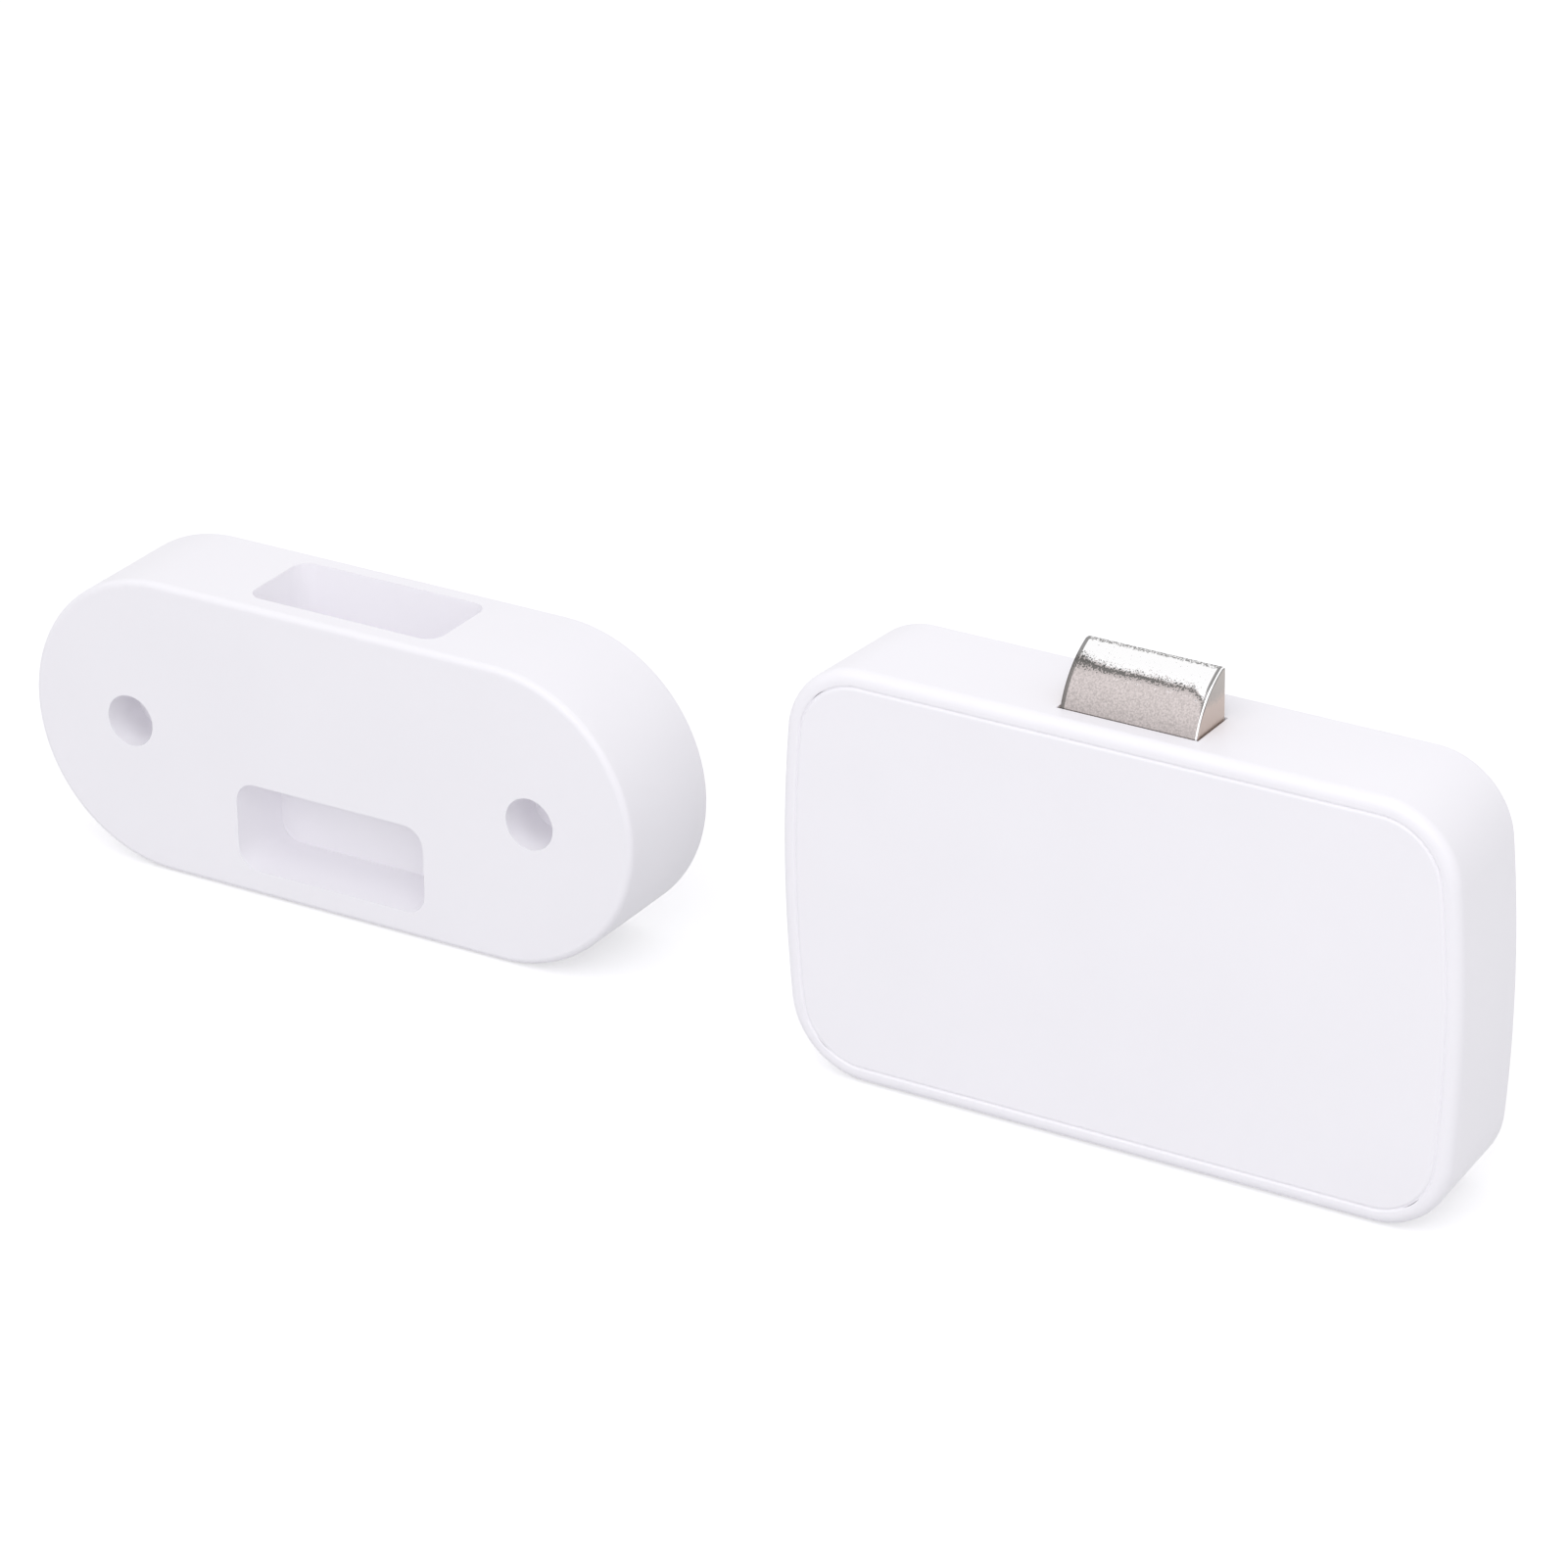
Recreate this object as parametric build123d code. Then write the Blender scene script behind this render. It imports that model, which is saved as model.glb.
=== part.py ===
from build123d import *
import math
import os

# A battery lock for a drawer or cabinet door, and the strike block that its bolt drops into.
# Millimetres. The origin is the centre of the lock's rear face, which lies on the panel.
# X runs along the lock, Y goes into the panel and Z goes up through the latch bolt.
# A depth is a distance in front of the rear face, so a depth of d lies at y = -d.

# Clearances
SLIDE_GAP = 0.3  # between a sliding piece and its guide
RUN_GAP = 0.05  # radial, shaft in a bearing
FIXED_GAP = 0.02  # radial, pin or screw in its own hole

# Lock case. Its width and height follow from the battery bay and the mechanism in it.
CASE_DEPTH = 17.4
SIDE_BULGE = 1.9  # how far the middle of a side stands out
SIDE_DRAFT = 1.2  # how far a side draws in towards the rear
CASE_CORNER = 10.7
FRONT_ROUND = 1.4
REAR_ROUND = 0.4
REAR_WALL = 1.8
RIM = 2.1  # bead that frames the cover
RIM_ROUND = 0.3
LEDGE = 0.8  # step that the cover rests on
CAVITY_CORNER = 5.0

# Front cover
COVER_THICKNESS = 1.6
COVER_GAP = 0.08
COVER_ROUND = 0.4
SKIRT_HEIGHT = 0.5
SKIRT_THICKNESS = 1.0
POST_R = 1.2
POST_LENGTH = 4.8
POST_GAP = 0.06
POST_WALL_GAP = 3.6  # right posts to the side wall
POST_LEFT_Z = (2.7, 12.7)  # cavity's top to the upper left post, its bottom to the lower one
POST_RIGHT_Z = (10.7, 16.7)  # the same for the right posts

# Mounting
MOUNT_HOLE_R = 2.0
MOUNT_SINK_R = 3.0
MOUNT_EDGE = 8.0  # case's side to the centre of a mounting hole
PAD_WIDTH = 62.0
PAD_HEIGHT = 38.0
PAD_THICKNESS = 0.6
PAD_CORNER = 4.0

# Latch bolt
BOLT_WIDTH = 19.0
BOLT_THICKNESS = 7.2
BOLT_PROUD = 6.9
BOLT_RAMP_BULGE = 1.0
BOLT_NOSE_ROUND = 0.8
BOLT_EDGE_ROUND = 0.35
SHOULDER = 2.5  # how far the bolt's body stands out at each side of its head
BODY_HEIGHT = 10.0
BODY_STEP = 0.3  # how far the body stands in front of the head
BOLT_HOLE_GAP = 0.25
OVERTRAVEL = 0.5

# Bolt carriage
CARRIAGE_BACK = 3.8  # depth of its back
CARRIAGE_PLATE = 2.4
CARRIAGE_WALL = 1.7
HOOK_HEIGHT = 3.0
FLOOR_HEIGHT = 2.7
TOP_GAP = 0.5
RAIL_THICKNESS = 1.4
RAIL_DEPTH = 5.6
RUNNER_X = 8.0
RUNNER_WIDTH = 1.6
MAGNET_R = 1.5
MAGNET_HEIGHT = 1.4

# Latch spring
WIRE_SIDES = 6
SPRING_R = 2.2
SPRING_WIRE = 0.5
SPRING_TURNS = 6
SPRING_BORE_R = 3.0
SPRING_BORE_DEPTH = 5.0
PEG_R = 1.4
PEG_HEIGHT = 3.0

# Rack and pinion
RACK_MODULE = 0.7
PINION_TEETH = 12
RACK_ANGLE = 25.0
RACK_BASE = 0.9  # material behind the tooth roots
RACK_TEETH_BELOW = 2
RACK_TEETH_ABOVE = 5
RACK_BACKLASH = 0.12
GEAR_DROP = 13.7  # carriage's top to the gear's centre

# Worm drive
WORM_MODULE = 0.5
WHEEL_TEETH = 20
WORM_ANGLE = 20.0
WORM_R = 3.0  # pitch radius
WORM_TURNS = 5
WORM_LENGTH = 9.0
WORM_BACKLASH = 0.14
WHEEL_DEPTH = 6.2  # depth of its back
WHEEL_THICKNESS = 3.0
PINION_THICKNESS = 4.2
RACK_LAYER_GAP = 0.5
RACK_FRONT_GAP = 0.2
TIP_FACTOR = 0.9
ROOT_FACTOR = 1.25
WORM_ROOT_FACTOR = 1.2
GEAR_PIN_R = 1.0
GEAR_BOSS_R = 3.0
THREAD_STEPS = 20  # sections in one turn of the worm

# Motor
SHAFT_R = 0.75
MOTOR_WIDTH = 12.0
MOTOR_THICKNESS = 10.0
MOTOR_LENGTH = 15.0
MOTOR_BOSS_R = 2.0
MOTOR_BOSS_HEIGHT = 0.8
SHAFT_IN_MOTOR = 6.0
MOTOR_CAP_HEIGHT = 2.0
MOTOR_CAP_INSET = 0.4
BEARING_WIDTH = 6.0
BEARING_HEIGHT = 2.0
CRADLE_WALL = 1.4
CRADLE_DEPTH = 9.0
TERMINAL_WIDTH = 1.8
TERMINAL_THICKNESS = 0.3
TERMINAL_SPACING = 6.0
TERMINAL_ON_BOARD = 2.0

# Mechanism plate
PLATE_THICKNESS = 0.8
PLATE_CORNER = 2.4
PLATE_MARGIN = 2.4  # from a screw's centre to the edge
BOSS_R = 2.2
LEFT_BOSS_GAP = 2.6  # carriage rail to the centre of the left bosses
PLATE_SCREW_DROP = (11.2, 29.7)  # carriage's top to the upper left and the lower screws
PLATE_RIGHT_DROP = 3.2  # carriage's top to the upper right screw
PLATE_RIGHT_GAP = 6.2  # worm's axis to the upper right screw
PLATE_LOWER_GAP = 2.0  # motor cradle to the lower right screw
SCREW_R = 1.0
SCREW_HEAD_R = 1.8
SCREW_HEAD_HEIGHT = 0.5
SCREW_LENGTH = 5.0
SCREW_SLOT = 0.45
SCREW_SLOT_DEPTH = 0.3

# Battery bay
CELL_R = 5.25
CELL_LENGTH = 44.5
CELL_TIP_R = 1.9
CELL_TIP_HEIGHT = 1.2
CELL_WALL_GAP = 1.45
CELL_BETWEEN = 0.6
CELL_SPRING_ROOM = 6.1  # least height for the spring at a cell's flat end
CELL_EDGE_ROUND = 0.35
SADDLE_HEIGHT = 3.2
SADDLE_THICKNESS = 1.6
SADDLE_SPACING = 26.0
CELL_SEAT = 0.5  # material between the rear wall and a cell
DIVIDER_TO_BOSS = 2.4  # divider's left face to the centre of the left bosses
DIVIDER_THICKNESS = 1.2
DIVIDER_GAP = 0.35
CONTACT_THICKNESS = 0.4
CONTACT_WIDTH = 9.0
CONTACT_DEPTH = (3.0, 12.0)
CONTACT_FREE_DEPTH = 5.4  # the positive contact starts here, clear of the other strip
STRIP_WIDTH = 1.6
STRIP_FRONT_DEPTH = 9.0
CELL_SPRING_R = (2.9, 1.8)
CELL_SPRING_WIRE = 0.5
CELL_SPRING_TURNS = 4

# Circuit board. A place on it is given across, then up from its bottom edge.
BOARD_BACK = 7.0
BOARD_THICKNESS = 1.0
BOARD_LEFT_HEIGHT = 16.4
BOARD_RIGHT_HEIGHT = 10.8
BOARD_STEP_X = 15.0
BOARD_TOP_GAP = 1.0  # least room under the carriage
BOARD_BOTTOM_GAP = 0.9
BOARD_SIDE_GAP = 0.7
BOARD_CORNER = 4.5
BOARD_LEFT_SCREW = (3.8, 3.8)  # from the board's left edge
BOARD_TOP_SCREW = (10.5, 13.4)
BOARD_RIGHT_SCREW = (3.6, 7.4)  # from the board's right edge
RADIO_SIZE = (13.0, 6.8, 2.2)
RADIO_IN = (15.0, 4.0)  # from the board's right edge
CHIP_SIZE = (6.0, 6.0, 0.9)
CHIP_AT = (13.0, 5.3)
HALL_SIZE = (3.0, 1.6, 1.2)
HALL_AT = (0.0, 15.2)
LIGHT_SIZE = (3.2, 1.6, 0.7)
LIGHT_IN = (4.5, 2.4)  # from the board's right edge
BUZZER_R = 4.3
BUZZER_HEIGHT = 3.0
BUZZER_AT = (1.6, 7.2)
SWITCH_SIZE = 6.0
SWITCH_HEIGHT = 3.5
SWITCH_IN = (4.8, 10.6)  # from the board's left edge
BUTTON_R = 1.7
BUTTON_GAP = 0.08
BUTTON_FRONT = 15.1
BUTTON_IN_SWITCH = 1.4
BUTTON_TRAVEL = 0.5
CUSHION_INSET = 1.5

# Strike
STRIKE_LENGTH = 95.5
STRIKE_HEIGHT = 42.4
STRIKE_DEPTH = 18.4
STRIKE_APART = 26.05  # clear of the lock's left side, as in the picture
STRIKE_REAR_Y = 6.7
STRIKE_WALL = 2.2
STRIKE_FRONT_ROUND = 0.9
STRIKE_REAR_ROUND = 0.4
STRIKE_HOLE_SPACING = 64.0
STRIKE_HOLE_R = 2.1
STRIKE_BORE_R = 3.65
STRIKE_BORE_DEPTH = 6.8
STRIKE_BORE_ROUND = 0.3
TOWER_WALL = 1.6
KEEPER_WIDTH = 30.0
SLOT_SHIFT = 1.0  # how far the slot stands to the right of the middle
SLOT_FRONT_WALL = 3.0
SLOT_REAR_WALL = 2.4
SLOT_HEIGHT = 10.5
SLOT_CORNER = 2.4
WINDOW_HEIGHT = 12.7
WINDOW_TOP = -4.9
WINDOW_DEPTH = 10.0
WINDOW_CORNER = 3.0
KEEPER_ROUND = 0.3
POCKET_WALL = 1.6
RIB_THICKNESS = 1.2

# Places that follow from the sizes above
cover_back = CASE_DEPTH - COVER_THICKNESS
inset = RIM + LEDGE

bolt_back = CARRIAGE_BACK + CARRIAGE_PLATE + SLIDE_GAP
bolt_front = bolt_back + BOLT_THICKNESS
bolt_middle = bolt_back + BOLT_THICKNESS / 2
body_half = BOLT_WIDTH / 2 + SHOULDER
carriage_half = body_half + SLIDE_GAP + CARRIAGE_WALL
carriage_front = bolt_front + BODY_STEP
rail_x = carriage_half + SLIDE_GAP
push_travel = BOLT_PROUD + 0.1
draw_travel = BOLT_PROUD + OVERTRAVEL
carriage_height = HOOK_HEIGHT + SLIDE_GAP + BODY_HEIGHT + push_travel + SLIDE_GAP + FLOOR_HEIGHT

cells_height = CELL_LENGTH + CELL_SPRING_ROOM + 2 * CONTACT_THICKNESS
board_room = BOARD_TOP_GAP + BOARD_LEFT_HEIGHT + BOARD_BOTTOM_GAP
mechanism_height = TOP_GAP + carriage_height + draw_travel + board_room
cavity_top = max(cells_height, mechanism_height) / 2
case_height = 2 * (cavity_top + inset)

carriage_top = cavity_top - TOP_GAP
hook_bottom = carriage_top - HOOK_HEIGHT
shoulder_top = hook_bottom - SLIDE_GAP
body_bottom = shoulder_top - BODY_HEIGHT
floor_top = body_bottom - push_travel - SLIDE_GAP
carriage_bottom = floor_top - FLOOR_HEIGHT

rack_pitch = math.pi * RACK_MODULE
pinion_r = RACK_MODULE * PINION_TEETH / 2
rack_x = carriage_half + RACK_BASE + ROOT_FACTOR * RACK_MODULE
gear_x = rack_x + pinion_r
gear_z = carriage_top - GEAR_DROP
wheel_r = WORM_MODULE * WHEEL_TEETH / 2
wheel_middle = WHEEL_DEPTH + WHEEL_THICKNESS / 2
wheel_front = WHEEL_DEPTH + WHEEL_THICKNESS
pinion_front = wheel_front + PINION_THICKNESS
worm_lead = math.pi * WORM_MODULE
worm_x = gear_x + wheel_r + WORM_R
worm_bottom = gear_z - WORM_LENGTH / 2
worm_top = gear_z + WORM_LENGTH / 2
motor_top = worm_bottom - SLIDE_GAP - MOTOR_BOSS_HEIGHT
motor_bottom = motor_top - MOTOR_LENGTH
bearing_bottom = worm_top + SLIDE_GAP
bearing_top = bearing_bottom + BEARING_HEIGHT

left_boss_x = -(rail_x + LEFT_BOSS_GAP)
divider_x = left_boss_x - DIVIDER_TO_BOSS
right_cell_x = divider_x - DIVIDER_GAP - CELL_R
cell_x = (right_cell_x - 2 * CELL_R - CELL_BETWEEN, right_cell_x)
cell_depth = REAR_WALL + CELL_SEAT + CELL_R
bay_half = -cell_x[0] + CELL_R + CELL_WALL_GAP
drive_half = worm_x + MOTOR_WIDTH / 2 + CRADLE_WALL + 2 * BOSS_R
cavity_corner_x = max(bay_half, drive_half)
case_width = 2 * (cavity_corner_x + SIDE_BULGE + inset)
mount_x = case_width / 2 - MOUNT_EDGE

plate_back = carriage_front + SLIDE_GAP
plate_front = plate_back + PLATE_THICKNESS
plate_screws = (
    (left_boss_x, carriage_top - PLATE_SCREW_DROP[0]),
    (left_boss_x, carriage_top - PLATE_SCREW_DROP[1]),
    (worm_x + PLATE_RIGHT_GAP, carriage_top - PLATE_RIGHT_DROP),
    (worm_x - MOTOR_WIDTH / 2 - CRADLE_WALL - PLATE_LOWER_GAP, carriage_top - PLATE_SCREW_DROP[1]),
)
right_post_x = case_width / 2 - inset - POST_WALL_GAP
cover_posts = (
    (left_boss_x, cavity_top - POST_LEFT_Z[0]),
    (left_boss_x, POST_LEFT_Z[1] - cavity_top),
    (right_post_x, cavity_top - POST_RIGHT_Z[0]),
    (right_post_x, POST_RIGHT_Z[1] - cavity_top),
)

contact_z = cavity_top - CONTACT_THICKNESS
contact_left = -(cavity_corner_x - CAVITY_CORNER)
cell_end_z = contact_z - CELL_LENGTH

board_front = BOARD_BACK + BOARD_THICKNESS
board_left = left_boss_x + BOSS_R + SLIDE_GAP
board_right = cavity_corner_x - BOARD_SIDE_GAP
board_bottom = BOARD_BOTTOM_GAP - cavity_top
board_left_top = board_bottom + BOARD_LEFT_HEIGHT
board_right_top = board_bottom + BOARD_RIGHT_HEIGHT
board_screws = (
    (board_left + BOARD_LEFT_SCREW[0], board_bottom + BOARD_LEFT_SCREW[1]),
    (BOARD_TOP_SCREW[0], board_bottom + BOARD_TOP_SCREW[1]),
    (board_right - BOARD_RIGHT_SCREW[0], board_bottom + BOARD_RIGHT_SCREW[1]),
)
radio_place = (board_right - RADIO_IN[0], board_bottom + RADIO_IN[1])
chip_place = (CHIP_AT[0], board_bottom + CHIP_AT[1])
hall_place = (HALL_AT[0], board_bottom + HALL_AT[1])
light_place = (board_right - LIGHT_IN[0], board_bottom + LIGHT_IN[1])
buzzer_place = (BUZZER_AT[0], board_bottom + BUZZER_AT[1])
switch_place = (board_left + SWITCH_IN[0], board_bottom + SWITCH_IN[1])

strike_x = -(case_width / 2 + STRIKE_APART + STRIKE_LENGTH / 2)
strike_z = (STRIKE_HEIGHT - case_height) / 2
strike_half = STRIKE_HEIGHT / 2


def outline(width, height, corner, bulge):
    """A rectangle with flat top and bottom, bulged sides and rounded corners."""
    edge = width / 2 - bulge
    top = height / 2
    loop = Curve() + [
        Line((-edge, top), (edge, top)),
        ThreePointArc((edge, top), (width / 2, 0), (edge, -top)),
        Line((edge, -top), (-edge, -top)),
        ThreePointArc((-edge, -top), (-width / 2, 0), (-edge, top)),
    ]
    face = make_face(loop)
    return fillet(face.vertices(), corner)


def case_outline(distance, corner):
    """The case's outline at its front, drawn in by a distance."""
    return outline(case_width - 2 * distance, case_height - 2 * distance, corner, SIDE_BULGE)


def slab(face, depth, thickness):
    """Carries an outline drawn in X and Z forward from a depth."""
    return extrude(Plane.XZ.offset(depth) * face, amount=thickness)


def block(x, depth, z):
    """A box between two X, two depths and two Z."""
    middle = Pos((x[0] + x[1]) / 2, -(depth[0] + depth[1]) / 2, (z[0] + z[1]) / 2)
    return middle * Box(x[1] - x[0], depth[1] - depth[0], z[1] - z[0])


def rod(x, z, radius, depth):
    """A round rod that points to the front, between two depths."""
    return slab(Pos(x, z) * Circle(radius), depth[0], depth[1] - depth[0])


def upright(x, depth, radius, z):
    """A round rod that points up, between two Z."""
    return Pos(x, -depth, (z[0] + z[1]) / 2) * Cylinder(radius, z[1] - z[0])


def gear_face(module, teeth, angle, backlash, root_factor):
    """Involute gear outline with a tooth on the X axis, thinned by the backlash."""
    pitch_r = module * teeth / 2
    pressure = math.radians(angle)
    base_r = pitch_r * math.cos(pressure)
    tip_r = pitch_r + TIP_FACTOR * module
    root_r = pitch_r - root_factor * module
    half_tooth = (math.pi * module / 2 - backlash) / 2 / pitch_r + math.tan(pressure) - pressure

    def half_angle(radius):
        roll = math.acos(min(1.0, base_r / radius))
        return half_tooth - (math.tan(roll) - roll)

    low = max(base_r, root_r)
    flank = [(root_r, half_angle(low))]
    flank += [(low + (tip_r - low) * k / 3, half_angle(low + (tip_r - low) * k / 3)) for k in range(4)]
    points = []
    for tooth in range(teeth):
        centre = 2 * math.pi * tooth / teeth
        for radius, half in flank:
            points.append((radius * math.cos(centre - half), radius * math.sin(centre - half)))
        for radius, half in reversed(flank):
            points.append((radius * math.cos(centre + half), radius * math.sin(centre + half)))
    return make_face(Polyline(*points, close=True))


def coil(radii, heights, turns):
    """Centre line of a spring wound up the Z axis, as pairs of arcs for each quarter turn."""
    steps = 4 * turns
    points = []
    tangents = []
    for k in range(steps + 1):
        share = k / steps
        turn = math.pi * k / 2
        radius = radii[0] + (radii[1] - radii[0]) * share
        rise = (heights[1] - heights[0]) / (2 * math.pi * turns)
        spread = (radii[1] - radii[0]) / (2 * math.pi * turns)
        points.append(Vector(radius * math.cos(turn), radius * math.sin(turn), heights[0] + rise * turn))
        tangents.append(
            Vector(
                spread * math.cos(turn) - radius * math.sin(turn),
                spread * math.sin(turn) + radius * math.cos(turn),
                rise,
            ).normalized()
        )
    arcs = []
    for start, end, out, into in zip(points, points[1:], tangents, tangents[1:]):
        span = end - start
        both = out + into
        across = span.dot(both)
        slack = 4 - both.dot(both)
        reach = (math.sqrt(across**2 + span.dot(span) * slack) - across) / slack
        first = start + out * reach
        second = end - into * reach
        middle = (first + second) * 0.5
        arcs.append(TangentArc(start, middle, tangent=out))
        arcs.append(TangentArc(middle, end, tangent=(second - first).normalized()))
    return Wire([edge for arc in arcs for edge in arc.edges()]), points, tangents


def spring(name, radii, wire, heights, turns):
    """Six-sided wire wound on its centre line. Prints the least gap between turns."""
    low = heights[0] + wire / 2 + FIXED_GAP
    high = heights[1] - wire / 2 - FIXED_GAP
    path, points, tangents = coil(radii, (low, high), turns)
    section = Plane(origin=points[0], z_dir=tangents[0]) * RegularPolygon(wire / 2, WIRE_SIDES)
    gaps = [
        (points[j] - points[i]).length - wire
        for i in range(len(points))
        for j in range(i + 3, len(points))
    ]
    print(name, "least gap between turns", round(min(gaps), 2), "mm")
    return sweep(section, path=path)


# Case and cover


def outer_body():
    """The case's outer form: drafted sides, rounded front rim and eased rear edge."""
    rear = outline(case_width - 2 * SIDE_DRAFT, case_height, CASE_CORNER, SIDE_BULGE)
    front = outline(case_width, case_height, CASE_CORNER, SIDE_BULGE)
    body = loft([Plane.XZ * rear, Plane.XZ.offset(CASE_DEPTH) * front], ruled=True)
    body = fillet(body.edges().group_by(Axis.Y)[0], FRONT_ROUND)
    return fillet(body.edges().group_by(Axis.Y)[-1], REAR_ROUND)


def bolt_hole():
    """The hole in the case's top wall that the bolt's head passes through."""
    half = BOLT_WIDTH / 2 + BOLT_HOLE_GAP
    depth = (bolt_back - BOLT_HOLE_GAP, bolt_front + BOLT_HOLE_GAP)
    return block((-half, half), depth, (cavity_top - 1, case_height / 2 + 1))


def bosses():
    """Screw bosses, sockets for the cover's posts and the gear pin's boss, before their holes."""
    towers = Part()
    for x, z in plate_screws:
        towers += rod(x, z, BOSS_R, (REAR_WALL, plate_back))
    for x, z in cover_posts:
        towers += rod(x, z, BOSS_R, (REAR_WALL, plate_back - SLIDE_GAP))
    for x, z in board_screws:
        towers += rod(x, z, BOSS_R, (REAR_WALL, BOARD_BACK))
    towers += rod(gear_x, gear_z, GEAR_BOSS_R, (REAR_WALL, WHEEL_DEPTH - SLIDE_GAP))
    return towers


def boss_holes():
    """The holes in the bosses."""
    holes = Part()
    for x, z in plate_screws:
        holes += rod(x, z, SCREW_R + FIXED_GAP, (plate_back - SCREW_LENGTH - 1, plate_back + 1))
    for x, z in cover_posts:
        holes += rod(x, z, POST_R + POST_GAP, (cover_back - POST_LENGTH - 1, plate_back + 1))
    for x, z in board_screws:
        holes += rod(x, z, SCREW_R + FIXED_GAP, (REAR_WALL, BOARD_BACK + 1))
    return holes + rod(gear_x, gear_z, GEAR_PIN_R + FIXED_GAP, (REAR_WALL, WHEEL_DEPTH))


def guides():
    """Rails at the carriage's sides and runners behind it."""
    low = carriage_bottom - draw_travel - 1
    walls = Part()
    for side in (-1, 1):
        x = sorted((side * rail_x, side * (rail_x + RAIL_THICKNESS)))
        walls += block(x, (REAR_WALL, RAIL_DEPTH), (low, cavity_top))
        x = (side * RUNNER_X - RUNNER_WIDTH / 2, side * RUNNER_X + RUNNER_WIDTH / 2)
        walls += block(x, (REAR_WALL, CARRIAGE_BACK - SLIDE_GAP), (low, cavity_top))
    return walls


def battery_bay():
    """The wall beside the cells and the saddles that they lie in."""
    wall = block(
        (divider_x, divider_x + DIVIDER_THICKNESS),
        (REAR_WALL, plate_back - SLIDE_GAP),
        (-cavity_top, cavity_top),
    )
    strip_way = block(
        (divider_x - 1, divider_x + DIVIDER_THICKNESS + 1),
        (CONTACT_DEPTH[0] - SLIDE_GAP, STRIP_FRONT_DEPTH + STRIP_WIDTH + SLIDE_GAP),
        (-cavity_top - 1, -cavity_top + CONTACT_THICKNESS + SLIDE_GAP),
    )
    saddles = Part()
    left = -cavity_corner_x - SIDE_BULGE
    for z in (-SADDLE_SPACING / 2, SADDLE_SPACING / 2):
        span = (z - SADDLE_THICKNESS / 2, z + SADDLE_THICKNESS / 2)
        saddles += block((left, divider_x), (REAR_WALL, REAR_WALL + SADDLE_HEIGHT), span)
    for x in cell_x:
        saddles -= upright(x, cell_depth, CELL_R + FIXED_GAP, (-cavity_top, cavity_top))
    return wall - strip_way + saddles


def motor_cradle():
    """The bed under the motor, the cheeks beside it and the bearing above the worm."""
    half = MOTOR_WIDTH / 2
    back = wheel_middle - MOTOR_THICKNESS / 2
    bed = block((worm_x - half + 2, worm_x + half - 2), (REAR_WALL, back), (motor_bottom + 1, motor_top - 1))
    cheeks = Part()
    for side in (-1, 1):
        inner = worm_x + side * (half + FIXED_GAP)
        x = sorted((inner, inner + side * CRADLE_WALL))
        cheeks += block(x, (REAR_WALL, CRADLE_DEPTH), (motor_bottom + 2, motor_top - 2))
    bearing = block(
        (worm_x - BEARING_WIDTH / 2, worm_x + BEARING_WIDTH / 2),
        (REAR_WALL, wheel_middle + BEARING_WIDTH / 2),
        (bearing_bottom, bearing_top),
    )
    bore = upright(worm_x, wheel_middle, SHAFT_R + RUN_GAP, (bearing_bottom - 1, bearing_top + 1))
    return bed + cheeks + (bearing - bore)


def mount_holes():
    """Countersunk holes in the rear wall, for the screws that hold the lock to the panel."""
    holes = Part()
    for side in (-1, 1):
        x = side * mount_x
        holes += rod(x, 0, MOUNT_HOLE_R, (-1, REAR_WALL + 1))
        sink = MOUNT_SINK_R - MOUNT_HOLE_R
        cone = Pos(x, 0, REAR_WALL - sink / 2) * Cone(MOUNT_HOLE_R, MOUNT_SINK_R, sink)
        holes += Plane.XZ * cone
    return holes


def make_case():
    """The moulded tub: one shell with its ledge, bosses, rails, saddles, cradle and holes."""
    shell = outer_body() - slab(case_outline(RIM, CASE_CORNER - RIM), cover_back, CASE_DEPTH)
    mouth = shell.faces().sort_by(Axis.Y)[0].inner_wires()[0]
    shell = fillet(mouth.edges(), RIM_ROUND)
    shell -= slab(case_outline(inset, CAVITY_CORNER), REAR_WALL, CASE_DEPTH)
    shell += bosses() + guides() + battery_bay() + motor_cradle()
    shell -= boss_holes() + mount_holes() + bolt_hole()
    recess = RectangleRounded(PAD_WIDTH, PAD_HEIGHT, PAD_CORNER)
    return shell - slab(recess, -1, 1 + PAD_THICKNESS)


def make_cover():
    """The front cover: an eased plate with a locating skirt and four friction posts."""
    distance = RIM + COVER_GAP
    plate = slab(case_outline(distance, CASE_CORNER - distance), cover_back, COVER_THICKNESS)
    plate = fillet(plate.edges().group_by(Axis.Y)[0], COVER_ROUND)
    outer = inset + SLIDE_GAP
    inner = outer + SKIRT_THICKNESS
    skirt = slab(case_outline(outer, CAVITY_CORNER - SLIDE_GAP), cover_back - SKIRT_HEIGHT, SKIRT_HEIGHT)
    corner = CAVITY_CORNER - SLIDE_GAP - SKIRT_THICKNESS
    skirt -= slab(case_outline(inner, corner), cover_back - SKIRT_HEIGHT, SKIRT_HEIGHT)
    plate += skirt
    for x, z in cover_posts:
        post = rod(x, z, POST_R, (cover_back - POST_LENGTH, cover_back))
        plate += chamfer(post.edges().group_by(Axis.Y)[-1], POST_R / 3)
    return plate


def make_pad():
    """Foam adhesive pad, let into the rear face."""
    face = RectangleRounded(PAD_WIDTH - 2 * COVER_GAP, PAD_HEIGHT - 2 * COVER_GAP, PAD_CORNER)
    return slab(face, 0, PAD_THICKNESS)


# Latch bolt and carriage


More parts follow.
